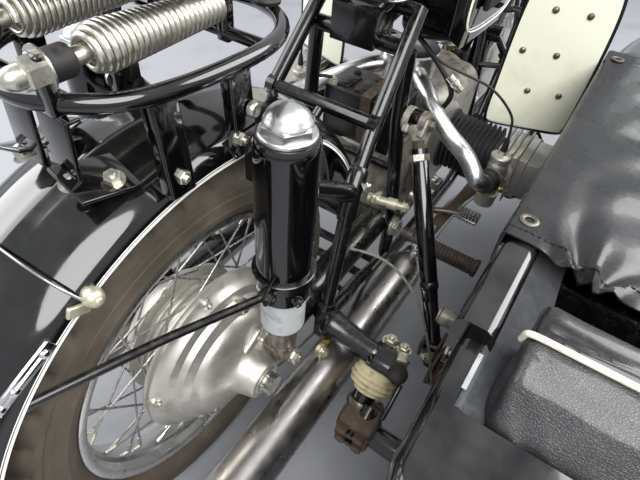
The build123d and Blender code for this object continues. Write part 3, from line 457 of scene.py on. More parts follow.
# Saddle leather: black, rubbed smooth, with a fine grain.
SADDLE = Finish("black_saddle_leather", "saddle_leather", "131110", "231f1b", 0.4, 0.0, 0.06, 50, 0.5, 0.8,
                Grain.PEBBLE, 1.6, 0.06, dust=0.15)
# Crinkled, glossy leather on the back of the sidecar's seat: soft cells that catch the light on their edges. Its dark
# grey, lighter than the black front of the same seat, is partly painted reflection of the bright sky on this up-facing
# back.
SEAT = Finish("black_crinkled_leather_painted_sheen", "seat_leather", "2b2a2c", "39383a", 0.3, 0.0, 0.05, 40, 0.5, 0.8,
              Grain.PEBBLE, 2.5, 0.17, dust=0.04, coat=0.3)
# The smooth glossy front of the same seat.
SEAT_SMOOTH = Finish("black_smooth_leather", "seat_leather", "121113", "1e1c1e", 0.24, 0.0, 0.05, 50, 0.5, 0.8,
                     Grain.PEBBLE, 1.2, 0.03, dust=0.05, coat=0.3)
# Coated cloth of the tonneau cover: fine grain and a satin shine along its folds.
COVER = Finish("black_coated_cloth", "leathercloth", "0c0c0e", "151417", 0.26, 0.0, 0.06, 80, 0.5, 0.8,
               Grain.PEBBLE, 1.4, 0.05, dust=0.05, dust_colour="4a4746", coat=0.15)
# Vinyl piping of the backrest: ivory, faintly yellowed and matt.
PIPING = Finish("ivory_vinyl_piping", "cream_paint", "d9d1bf", "bdb29b", 0.4, patch_mm=16, grain=Grain.MOULD,
                grain_mm=0.8, depth_mm=0.008)
# Waxed sewing thread: black, dry, with no shine.
THREAD = Finish("black_waxed_thread", "leathercloth", "0b0b0c", "1a191a", 0.55, patch_mm=8)
# Wool felt round the sidecar's opening: dark grey matted fibres with no shine.
FELT = Finish("grey_wool_felt", "black_rubber_roll", "2d2f33", "3d4046", 0.95, 0.0, 0.03, 14, 0.4, 0.65, Grain.PILE,
              1.0, 0.4, sheen=0.4)
# Moulded black rubber of sleeves and collars.
RUBBER = Finish("moulded_black_rubber", "rubber", "121111", "221e1b", 0.6, 0.0, 0.06, 18, 0.5, 0.75, Grain.MOULD, 0.8,
                0.02, dust=0.12)
# Road-worn rubber of the footrests, grey brown with trodden dirt.
FOOT_RUBBER = Finish("trodden_rest_rubber", "rubber", "2c2722", "50463a", 0.72, 0.0, 0.06, 10, 0.4, 0.7, Grain.MOULD,
                     0.9, 0.05, dust=0.35, dust_colour="6f6350")
# Cream rubber of the joint's gaiter, perished and stained.
GAITER = Finish("cream_gaiter_rubber", "cream_paint", "d9cda6", "a8946b", 0.55, 0.0, 0.06, 16, 0.48, 0.74,
                Grain.MOULD, 1.2, 0.06, dust=0.1)
# Old tyre rubber: grey brown with bloom and road dust on the walls.
TYRE = Finish("weathered_tyre_rubber", "tyre", "4a4238", "63584a", 0.7, 0.0, 0.06, 60, 0.42, 0.8, Grain.MOULD, 1.4,
              0.04, dust=0.12, dust_colour="6b5f51")
# Hard rubber of the battery case, dusty on top.
CASE = Finish("hard_rubber_case", "battery_case", "0f0e0f", "241f1c", 0.32, patch_mm=30, patch_from=0.52,
              patch_to=0.8, grain=Grain.MOULD, grain_mm=1.0, depth_mm=0.03, dust=0.3, dust_colour="5f564b")
# Old leather strap of the battery, dark brown and dry.
STRAP = Finish("brown_leather_strap", "saddle_leather", "32281e", "4a3b2a", 0.6, 0.0, 0.06, 14, 0.45, 0.7,
               Grain.PEBBLE, 1.2, 0.06, dust=0.2)
# Woven sleeve of an old bowden cable: grey green, dry and matt.
GREY_WIRE = Finish("woven_cable_sleeve", "rubber", "6d7466", "4d5247", 0.8, 0.0, 0.05, 8, 0.4, 0.7)
# Pale grey paint on the sleeve of the spring legs: satin, rubbed.
BAND_GREY = Finish("pale_grey_band_paint", "zinc_alloy", "b0b4b4", "939694", 0.42, 0.1, 0.05, 24)
# Birch plywood of the seat's base: warm pale brown, dry, with a drawn grain.
WOOD = Finish("birch_plywood", "plywood", "b08d5f", "8c6a42", 0.55, patch_mm=40, grain=Grain.DRAWN, grain_mm=2.0,
              depth_mm=0.05)
# Acrylic sheet of the windscreen: clear and smooth, so that only its edges and highlights show.
SCREEN = ClearSheet("clear_acrylic_sheet", "clear_plastic", "f2f5f4", "e4e8e6", 0.05, spread=0.02, patch_mm=90,
                    grain_mm=30.0, depth_mm=0.004)
# Ruby glass of the tail lamp: deep red, with a pressed ripple.
RED_GLASS = ClearSheet("ruby_lamp_glass", "clear_plastic", "b3120e", "8d0d0a", 0.12, grain_mm=3.0, depth_mm=0.05)
# Headlamp glass: colourless, its fluting bends what lies behind it.
LENS = ClearSheet("fluted_headlamp_glass", "clear_plastic", "eef2f0", "dfe5e2", 0.08, grain_mm=4.0, depth_mm=0.12)


def clear_selection() -> None:
    """Leaves edit mode and deselects everything."""
    if bpy.context.object and bpy.context.object.mode != "OBJECT":
        bpy.ops.object.mode_set(mode="OBJECT")
    bpy.ops.object.select_all(action="DESELECT")


def take_up(piece: bpy.types.Object) -> bpy.types.Object:
    """Makes a piece the only one selected, and the active one."""
    clear_selection()
    piece.select_set(True)
    bpy.context.view_layer.objects.active = piece
    return piece


@contextmanager
def editing(piece: bpy.types.Object, kind: str = "FACE") -> Iterator[bpy.types.Mesh]:
    """Opens a piece in edit mode with nothing selected.

    Args:
        piece: the mesh object.
        kind: VERT, EDGE or FACE.

    Returns:
        Its mesh, while it is being edited.
    """
    take_up(piece)
    bpy.ops.object.mode_set(mode="EDIT")
    bpy.ops.mesh.select_mode(type=kind)
    bpy.ops.mesh.select_all(action="DESELECT")
    yield piece.data
    bpy.ops.object.mode_set(mode="OBJECT")


def pick_faces(piece: bpy.types.Object, test: Callable[[Vector, Vector], bool]) -> None:
    """Selects faces by their centre and normal and stays in edit mode.

    Args:
        piece: the mesh object, open in edit mode.
        test: says whether a face is wanted, from its centre and normal.
    """
    bpy.ops.object.mode_set(mode="OBJECT")
    for face in piece.data.polygons:
        face.select = test(face.center, face.normal)
    bpy.ops.object.mode_set(mode="EDIT")


def settle(piece: bpy.types.Object, name: str, smooth: float = 35.0) -> bpy.types.Object:
    """Merges doubles, points faces outwards, smooths and puts the object at the origin.

    Args:
        piece: the mesh object.
        name: its new name.
        smooth: faces that meet at less than this many degrees shade as one.

    Returns:
        The same piece.
    """
    take_up(piece)
    bpy.ops.object.transform_apply(location=True, rotation=True, scale=True)
    with editing(piece, "VERT"):
        bpy.ops.mesh.select_all(action="SELECT")
        bpy.ops.mesh.remove_doubles(threshold=0.00001)
        bpy.ops.mesh.normals_make_consistent(inside=False)
    take_up(piece)
    bpy.ops.object.shade_smooth_by_angle(angle=math.radians(smooth))
    piece.name = name
    piece.data.name = name
    return piece


def aim(start: Point, along: Point) -> Matrix:
    """Gives the place of a piece that was made along Z from the origin.

    Args:
        start: where its foot goes, in vehicle millimetres.
        along: the way that it points.

    Returns:
        The transform.
    """
    turn = Vector(along).to_track_quat("Z", "Y").to_matrix().to_4x4()
    return Matrix.Translation(at(*start)) @ turn


def lathe(name: str, outline: Rows, start: Point, along: Point, steps: int = 48, looped: bool = False,
          smooth: float = 35.0) -> bpy.types.Object:
    """Turns a piece: a ring is drawn out from one diameter to the next.

    Args:
        name: the piece's name.
        outline: rows of distance from the start and radius, in millimetres.
        start: the start of the axis.
        along: the axis.
        steps: how many flats the ring has.
        looped: whether the outline comes back to its first row.
        smooth: the angle below which faces shade as one.

    Returns:
        The turned piece.
    """
    clear_selection()
    rows = [(far * MM, max(radius, 0.02) * MM) for far, radius in outline]
    bpy.ops.mesh.primitive_circle_add(vertices=steps, radius=rows[0][1], location=(0, 0, rows[0][0]))
    piece = bpy.context.object
    bpy.ops.object.transform_apply(location=True)
    with editing(piece, "VERT"):
        bpy.ops.mesh.select_all(action="SELECT")
        for (low, before), (high, after) in zip(rows, rows[1:]):
            bpy.ops.mesh.extrude_region_move(TRANSFORM_OT_translate={"value": (0, 0, high - low)})
            bpy.ops.transform.resize(value=(after / before, after / before, 1), center_override=(0, 0, high))
        bpy.ops.mesh.select_all(action="SELECT")
        bpy.ops.mesh.remove_doubles(threshold=0.000005)
        if not looped:
            bpy.ops.mesh.select_all(action="SELECT")
            bpy.ops.mesh.fill_holes(sides=0)
    piece.matrix_world = aim(start, along)
    return settle(piece, name, smooth)


def pipe(name: str, points: Rows, radius: float, sides: int = 3, order: int = 3, closed: bool = False,
         smooth: float = 60.0) -> bpy.types.Object:
    """Draws a bar or pipe along a smooth line.

    Args:
        name: the piece's name.
        points: the line's control points, in vehicle millimetres.
        radius: the bar's radius.
        sides: the roundness of its section.
        order: 2 for straight runs, 3 for a smooth line.
        closed: whether the line closes on itself.
        smooth: the angle below which faces shade as one.

    Returns:
        The bar as a mesh.
    """
    clear_selection()
    bpy.ops.curve.primitive_nurbs_path_add(location=(0, 0, 0))
    piece = bpy.context.object
    curve = piece.data
    curve.splines.clear()
    line = curve.splines.new("NURBS")
    line.points.add(len(points) - 1)
    for knot, point in zip(line.points, points):
        knot.co = (*at(*point), 1)
    line.order_u = order
    line.use_endpoint_u = not closed
    line.use_cyclic_u = closed
    line.resolution_u = 8
    curve.bevel_depth = radius * MM
    curve.bevel_resolution = sides
    curve.use_fill_caps = True
    bpy.ops.object.convert(target="MESH")
    return settle(piece, name, smooth)


def rounded(points: Rows, bend: float) -> list[Vector]:
    """Adds two points by each corner of a run, so that it stays straight up to its bends."""
    corners = [Vector(point) for point in points]
    line = [corners[0]]
    for before, corner, after in zip(corners, corners[1:], corners[2:]):
        reach = min(bend, 0.45 * (before - corner).length, 0.45 * (after - corner).length)
        line += [corner + (before - corner).normalized() * reach, corner,
                 corner + (after - corner).normalized() * reach]
    return line + [corners[-1]]


def slab(name: str, centre: Point, size: Point, edge: float = 1.5, turn: Point = (0, 0, 0)) -> bpy.types.Object:
    """Makes a plate or block with rounded edges.

    Args:
        name: the piece's name.
        centre: its middle.
        size: its lengths along its own axes.
        edge: the radius of its edges.
        turn: its turn about X, Y and Z in degrees.

    Returns:
        The block.
    """
    clear_selection()
    bpy.ops.mesh.primitive_cube_add(size=1, location=at(*centre), rotation=[math.radians(part) for part in turn],
                                    scale=[length * MM for length in size])
    piece = bpy.context.object
    bpy.ops.object.transform_apply(location=False, rotation=False, scale=True)
    with editing(piece, "EDGE"):
        bpy.ops.mesh.select_all(action="SELECT")
        bpy.ops.mesh.bevel(offset=edge * MM, segments=3, affect="EDGES")
    return settle(piece, name, 40)


def hex_bolt(name: str, start: Point, along: Point, across: float, height: float, shank: float = 0.0,
             washer: bool = True) -> bpy.types.Object:
    """Makes a hexagon head or nut with chamfered corners, on a washer and with a thread's end.

    Args:
        name: the piece's name.
        start: the middle of its seat.
        along: the way that it points.
        across: its width over flats.
        height: its height.
        shank: how far the thread's end stands out.
        washer: whether a washer lies under it.

    Returns:
        The joined fastener.
    """
    radius = across / 2 / math.cos(math.pi / 6)
    rise = height * 0.12
    head = lathe(name, [(0, radius), (height - rise, radius), (height, radius * 0.86), (height, 0)], start, along, 6,
                 smooth=20)
    pieces = [head]
    if washer:
        pieces.append(lathe(name, [(-1.6, across * 0.45), (-1.6, across * 0.78), (0.1, across * 0.78), (0.1, 0)],
                            start, along, 20, smooth=30))
    if shank:
        pieces.append(lathe(name, [(height - 1, across * 0.27), (height + shank - 1, across * 0.27),
                                   (height + shank, across * 0.2), (height + shank, 0)], start, along, 12, smooth=30))
    return joined(name, pieces)


def joined(name: str, pieces: Sequence[bpy.types.Object]) -> bpy.types.Object:
    """Joins pieces into the first one."""
    clear_selection()
    for piece in pieces:
        piece.select_set(True)
    bpy.context.view_layer.objects.active = pieces[0]
    if len(pieces) > 1:
        bpy.ops.object.join()
    pieces[0].name = name
    return pieces[0]


def copied(piece: bpy.types.Object, name: str, move: Matrix) -> bpy.types.Object:
    """Copies a piece with its own mesh and puts the move into that mesh.

    Args:
        piece: what is copied.
        name: the copy's name.
        move: the move, in the row's metres.

    Returns:
        The copy.
    """
    made = bpy.data.objects.new(name, piece.data.copy())
    bpy.context.scene.collection.objects.link(made)
    made.data.transform(move)
    if move.determinant() < 0:
        made.data.flip_normals()
    return made


def turn_about(centre: Point, axis: str, degrees: float) -> Matrix:
    """Gives a turn about a line through a point, in vehicle millimetres."""
    place = Matrix.Translation(at(*centre))
    return place @ Matrix.Rotation(math.radians(degrees), 4, axis) @ place.inverted()


def across(y: float = 0.0) -> Matrix:
    """Gives the mirror move to the other side of the plane at Y."""
    place = Matrix.Translation(at(0, y, 0))
    return place @ Matrix.Scale(-1, 4, LEFT) @ place.inverted()


def apply_modifier(piece: bpy.types.Object, kind: str, **settings: object) -> None:
    """Adds a modifier with its settings and applies it.

    Args:
        piece: the mesh object.
        kind: the modifier's type.
        settings: its settings.
    """
    take_up(piece)
    bpy.ops.object.modifier_add(type=kind)
    made = piece.modifiers[-1]
    for key, value in settings.items():
        setattr(made, key, value)
    bpy.ops.object.modifier_apply(modifier=made.name)


def grid_sheet(name: str, across_steps: int, along_steps: int, where: Callable[[float, float], Point],
               thick: float = 0.0) -> bpy.types.Object:
    """Lays a grid over a curved surface and gives it a wall.

    Args:
        name: the piece's name.
        across_steps: cells one way.
        along_steps: cells the other way.
        where: gives the vehicle millimetres of a place on the sheet, from two shares of 0 to 1.
        thick: the wall in millimetres, or 0 for none.

    Returns:
        The sheet.
    """
    clear_selection()
    bpy.ops.mesh.primitive_grid_add(x_subdivisions=across_steps, y_subdivisions=along_steps, size=1)
    piece = bpy.context.object
    for vertex in piece.data.vertices:
        vertex.co = at(*where(vertex.co.x + 0.5, vertex.co.y + 0.5))
    if thick:
        apply_modifier(piece, "SOLIDIFY", thickness=thick * MM, offset=0.0, use_even_offset=True)
    return settle(piece, name, 50)


def strap(name: str, points: Rows, width: float, thick: float, flat: Point = LEFT) -> bpy.types.Object:
    """Bends a flat bar along a line.

    Args:
        name: the piece's name.
        points: the line's corners, in vehicle millimetres.
        width: the bar's width.
        thick: its thickness.
        flat: the way that its width points.

    Returns:
        The bar.
    """
    line = [Vector(point) for point in rounded(points, 12)]
    wide = Vector(flat).normalized() * width / 2

    def where(far: float, share: float) -> Point:
        """Gives a place across the bar and along its line."""
        place = share * (len(line) - 1)
        step = min(int(place), len(line) - 2)
        return line[step].lerp(line[step + 1], place - step) + wide * (2 * far - 1)

    return grid_sheet(name, 2, len(line) - 1, where, thick)


def wind(wire: float, radius: float, pitch: float, turns: int, steps: int, sides: int) -> bpy.types.Object:
    """Winds a coil spring up the Z axis from the origin.

    Args:
        wire: the radius of its wire.
        radius: the radius of its coils, to the middle of the wire.
        pitch: the rise of one turn.
        turns: how many turns it has.
        steps: the flats of one turn.
        sides: the flats of the wire.

    Returns:
        The coil, still to be put in its place and settled.
    """
    clear_selection()
    bpy.ops.mesh.primitive_circle_add(vertices=sides, radius=wire * MM, location=(radius * MM, 0, 0),
                                      rotation=(math.pi / 2, 0, 0))
    coil = bpy.context.object
    bpy.ops.object.transform_apply(location=True, rotation=True)
    apply_modifier(coil, "SCREW", axis="Z", angle=math.tau, screw_offset=pitch * MM, iterations=turns, steps=steps,
                   render_steps=steps, use_merge_vertices=True)
    return coil


def round_bolt(name: str, start: Point, along: Point, radius: float, height: float) -> bpy.types.Object:
    """Makes a domed rivet or screw head on its seat."""
    rows = [(0, radius), (height * 0.35, radius), (height * 0.7, radius * 0.8), (height * 0.93, radius * 0.45),
            (height, 0)]
    return lathe(name, rows, start, along, 18, smooth=50)


@dataclass
class SubAssembly:
    """Pieces that ride on one body of the frame."""

    frame: dict
    body: str = "motorcycle"
    made: Pieces = field(default_factory=list)

    def dress(self, piece: bpy.types.Object, finish: Finish, *stands_for: str) -> bpy.types.Object:
        """Gives a piece its finish and body.

        Args:
            piece: the finished mesh.
            finish: its surface.
            stands_for: the CAD nodes that it replaces.

        Returns:
            The same piece.
        """
        piece.data.materials.clear()
        piece.data.materials.append(finish.material())
        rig.ride(piece, self.body)
        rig.slot(piece, finish.slot)
        if stands_for:
            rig.replaces(piece, *stands_for)
        self.made.append(piece)
        return piece

    def fit(self, name: str, pieces: Sequence[bpy.types.Object], finish: Finish,
            *stands_for: str) -> bpy.types.Object:
        """Joins pieces under one name and dresses them.

        Args:
            name: the name of what they make.
            pieces: the pieces.
            finish: their surface.
            stands_for: the CAD nodes that they replace.

        Returns:
            The joined piece.
        """
        return self.dress(joined(name, pieces), finish, *stands_for)

    def refine(self, node: str, finish: Finish, smooth: float = 35.0, edge: float = 0.0) -> bpy.types.Object:
        """Copies a CAD node's mesh, merges it, rounds its edges and dresses it in the node's stead.

        Args:
            node: the CAD node.
            finish: its surface.
            smooth: the angle below which faces shade as one.
            edge: the width of the rounding on its sharp edges, in millimetres.

        Returns:
            The dressed copy.
        """
        piece = bpy.data.objects.new(node + "_skin", self.frame["nodes"][node].data.copy())
        bpy.context.scene.collection.objects.link(piece)
        with editing(piece, "VERT"):
            bpy.ops.mesh.select_all(action="SELECT")
            bpy.ops.mesh.customdata_custom_splitnormals_clear()
            bpy.ops.mesh.remove_doubles(threshold=0.00002)
            if edge:
                bpy.ops.mesh.dissolve_limited(angle_limit=math.radians(2))
        if edge:
            apply_modifier(piece, "BEVEL", width=edge * MM, segments=2, limit_method="ANGLE",
                           angle_limit=math.radians(40), harden_normals=False)
        take_up(piece)
        bpy.ops.object.shade_smooth_by_angle(angle=math.radians(smooth))
        return self.dress(piece, finish, node)

    def report(self) -> None:
        """Logs each piece with its face count."""
        for piece in self.made:
            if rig.alive(piece):
                LOG.info("%s: %s, %d faces", type(self).__name__, piece.name, len(piece.data.polygons))


def inflate(piece: bpy.types.Object, cap_mm: float, held: Callable[[Vector], bool], pressure: float = 4.0) -> None:
    """Fills a padded piece by a short cloth simulation and keeps its swelling within bounds.

    Args:
        piece: the closed mesh.
        cap_mm: the most that any point moves.
        held: says which points stay, from their place in the row's metres.
        pressure: the filling's pressure.
    """
    rest = [vertex.co.copy() for vertex in piece.data.vertices]
    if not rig.quick():
        group = piece.vertex_groups.new(name="held")
        group.add([vertex.index for vertex in piece.data.vertices if held(vertex.co)], 1.0, "REPLACE")
        take_up(piece)
        bpy.ops.object.modifier_add(type="CLOTH")
        cloth = piece.modifiers[-1]
        cloth.settings.quality = 4
        cloth.settings.use_pressure = True
        cloth.settings.uniform_pressure_force = pressure
        cloth.settings.effector_weights.gravity = 0
        cloth.settings.vertex_group_mass = "held"
        cloth.collision_settings.use_collision = False
        cloth.point_cache.frame_start = 1
        cloth.point_cache.frame_end = CLOTH_FRAMES
        for frame in range(1, CLOTH_FRAMES + 1):
            bpy.context.scene.frame_set(frame)
        take_up(piece)
        bpy.ops.object.modifier_apply(modifier=cloth.name)
        bpy.context.scene.frame_set(1)
    for vertex, start in zip(piece.data.vertices, rest):
        step = vertex.co - start
        if step.length > cap_mm * MM:
            vertex.co = start + step.normalized() * cap_mm * MM


def cable(group: SubAssembly, name: str, points: Rows, radius: float, finish: Finish,
          stiffness: str = "medium") -> bpy.types.Object:
    """Runs a free cable from one fitting to another and declares its real length.

    Args:
        group: the sub-assembly that it belongs to.
        name: the piece's name.
        points: its control points, in vehicle millimetres.
        radius: its radius.
        finish: its cover.
        stiffness: limp, medium or stiff.

    Returns:
        The cable.
    """
    line = pipe(name + "_line", points, 0.0)
    path = [vertex.co.copy() for vertex in line.data.vertices]
    bpy.data.objects.remove(line)
    length = sum((after - before).length for before, after in zip(path, path[1:]))
    piece = group.dress(pipe(name, points, radius, 3), finish)
    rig.cord(piece, exit=tuple(path[0]), length=length, diameter=2 * radius * MM, far_end="object",
            stiffness=stiffness, lay="loose", path=[tuple(point) for point in path])
    return piece


def pad_saddle(group: SubAssembly, name: str, outline: Rows, low: float, high: float, finish: Finish,
               node: str) -> bpy.types.Object:
    """Pads a saddle: a crowned, rolled-over form that is drawn in under its edge.

    Args:
        group: the sub-assembly that it belongs to.
        name: the piece's name.
        outline: half of its plan, from the back of the middle line to the front of it.
        low: the level of its underside.
        high: the top of its crown.
        finish: its leather.
        node: the CAD node that it stands for.

    Returns:
        The saddle.
    """
    clear_selection()
    plan = [tuple(row) for row in outline] + [(x, -y) for x, y in reversed(outline[1:-1])]
    middle = (outline[0][0] + outline[-1][0]) / 2
    bpy.ops.mesh.primitive_circle_add(vertices=len(plan), radius=1, fill_type="NOTHING", location=(0, 0, 0))
    piece = bpy.context.object
    for vertex, (x, y) in zip(piece.data.vertices, plan):
        vertex.co = at(x, y, low)
    level, size = low, 0.93
    with editing(piece, "VERT"):
        bpy.ops.mesh.select_all(action="SELECT")
        bpy.ops.transform.resize(value=(size, size, 1), center_override=at(middle, 0, low))
        for share, grow in ((0.16, 0.985), (0.4, 1.0), (0.66, 0.985), (0.85, 0.92), (0.96, 0.78), (1.0, 0.5)):
            bpy.ops.mesh.extrude_region_move(
                TRANSFORM_OT_translate={"value": (0, 0, (low + (high - low) * share - level) * MM)})
            level = low + (high - low) * share
            bpy.ops.transform.resize(value=(grow / size, grow / size, 1), center_override=at(middle, 0, level))
            size = grow
        bpy.ops.mesh.select_all(action="SELECT")
        bpy.ops.mesh.fill_holes(sides=0)
    settle(piece, name, 60)
    apply_modifier(piece, "REMESH", mode="VOXEL", voxel_size=5 * MM)
    apply_modifier(piece, "SMOOTH", factor=0.5, iterations=8)
    inflate(piece, 3.0, lambda point: point.z < (low + 8) * MM)
    group.dress(settle(piece, name, 60), finish, node)
    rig.padded(piece, fill=0.8)
    return piece


@dataclass
class Wheel(SubAssembly):
    """A wire wheel: tyre, alloy rim, laced spokes with nipples, and hub."""

    name: str = "rear"
    centre: Point = (0, 0, AXLE_Z)
    radius: float = 326.0
    steps: int = 120
    spokes: int = 20

    def tyre(self) -> None:
        """Turns the tyre, with wall ribs, tread grooves and shoulder blocks."""
        tread = self.radius
        half = [(0, tread), (13, tread - 1), (14.5, tread - 5.5), (17, tread - 5.5), (18.5, tread - 2),
                (33, tread - 8), (40, tread - 14), (44, tread - 22), (46.2, 298), (46.8, 295), (48.2, 294.4),
                (48.4, 292.8), (47.8, 292), (48.6, 285), (49.6, 284.4), (49.8, 282.8), (49.2, 282), (49.6, 276),
                (49.2, 268), (49.9, 266), (48.6, 262), (46.6, 256), (43.5, 251), (38, 246), (34.5, 243.6),
                (33.2, 242.8), (32.4, 233.8)]
        loop = half + [(-y, radius) for y, radius in reversed(half[1:])]
        piece = lathe(f"{self.name}_tyre_rubber", loop + [half[0]], self.centre, LEFT, self.steps, looped=True)
        hub_line = at(*self.centre)

        def on_tread(centre: Vector, _normal: Vector) -> bool:
            """Picks every third block of the two shoulder bands of the tread."""
            reach = Vector((centre.x - hub_line.x, 0, centre.z - hub_line.z))
            step = int((math.degrees(math.atan2(reach.z, reach.x)) % 360) / (360 / self.steps))
            band = abs(centre.y - hub_line.y) / MM
            return 19 < band < 43 and step % 3 == 0 and reach.length > 0.3

        with editing(piece, "FACE"):
            pick_faces(piece, on_tread)
            bpy.ops.mesh.inset(thickness=2.6 * MM, depth=-4 * MM, use_individual=False)
        self.dress(piece, TYRE, f"{self.name}_tyre")

    def rim(self) -> None:
        """Turns the alloy rim with its rolled flanges and stepped bed."""
        half = [(0, 219.2), (10.5, 219.2), (14, 221), (18, 225.3), (30, 227), (34.4, 228.8), (36.8, 233), (37, 239),
                (36, 241.4), (34.2, 241.4), (33.4, 239.5), (33, 234.4), (32.7, 231), (28, 229.5), (18, 229),
                (10, 224), (0, 223.6)]
        loop = half + [(-y, radius) for y, radius in reversed(half[1:])]
        piece = lathe(f"{self.name}_rim_metal", loop + [half[0]], self.centre, LEFT, self.steps, looped=True)
        self.dress(piece, POLISHED, f"{self.name}_rim")

    def lacing(self) -> None:
        """Bends one spoke with its nipple for each lean, and copies it round the wheel."""
        x, y, z = self.centre
        spokes: Pieces = []
        nipples: Pieces = []
        for side in (-1, 1):
            for lean in (-1, 1):
                start = 2 * math.pi * ((1 if lean > 0 else 0) + 0.25 + 0.25 * side) / self.spokes
                hub_turn = start + lean * math.radians(52)
                hub_y = y + side * (26 + lean * 2.2)
                rim_y = y + side * (5 + lean * 2.2)
                foot = (x + math.cos(hub_turn) * 111, hub_y, z + math.sin(hub_turn) * 111)
                head = (x + math.cos(start) * 218, rim_y, z + math.sin(start) * 218)
                bent = (foot[0], foot[1] - side * lean * 3, foot[2])
                low = Vector(head) - (Vector(head) - Vector(foot)).normalized() * 17
                wire = pipe("spoke", [bent, foot, Vector(foot) + (Vector(head) - Vector(foot)) * 0.05, head], 1.8, 1)
                nut = lathe("nipple", [(0, 1.9), (0.4, 2.9), (13, 3.1), (15, 3.6), (17.5, 3.6), (17.6, 0)], low,
                            Vector(head) - low, 8)
                for number in range(self.spokes // 2):
                    move = turn_about(self.centre, "Y", -number * 720 / self.spokes)
                    spokes.append(copied(wire, "spoke", move))
                    nipples.append(copied(nut, "nipple", move))
                bpy.data.objects.remove(wire)
                bpy.data.objects.remove(nut)
        self.fit(f"{self.name}_spokes", spokes, STEEL)
        self.fit(f"{self.name}_nipples", nipples, ZINC)

    def hub(self) -> None:
        """Turns the full-width alloy hub with its brake drum, cooling ribs and flanges."""
        ribs: Profile = []
        for number in range(3):
            near = -14 + number * 11
            ribs += [(near, 98), (near + 1, 103), (near + 4, 103), (near + 5, 98)]
        outline = [(-30, 9.6), (-31, 60), (-30, 108), (-28, 116), (-23, 116), (-20, 108), (-18, 99), *ribs, (19, 99),
                   (21, 108), (23, 116), (29, 116), (31, 110), (34, 104), (46, 100), (58, 91), (63, 76), (66, 60),
                   (66, 9.6)]
        piece = lathe(f"{self.name}_hub_metal", outline, self.centre, LEFT, 72, smooth=40)
        self.dress(piece, CAST, f"{self.name}_hub")

    def build(self) -> None:
        """Makes the wheel from the tyre inwards."""
        self.tyre()
        self.rim()
        self.lacing()
        self.hub()


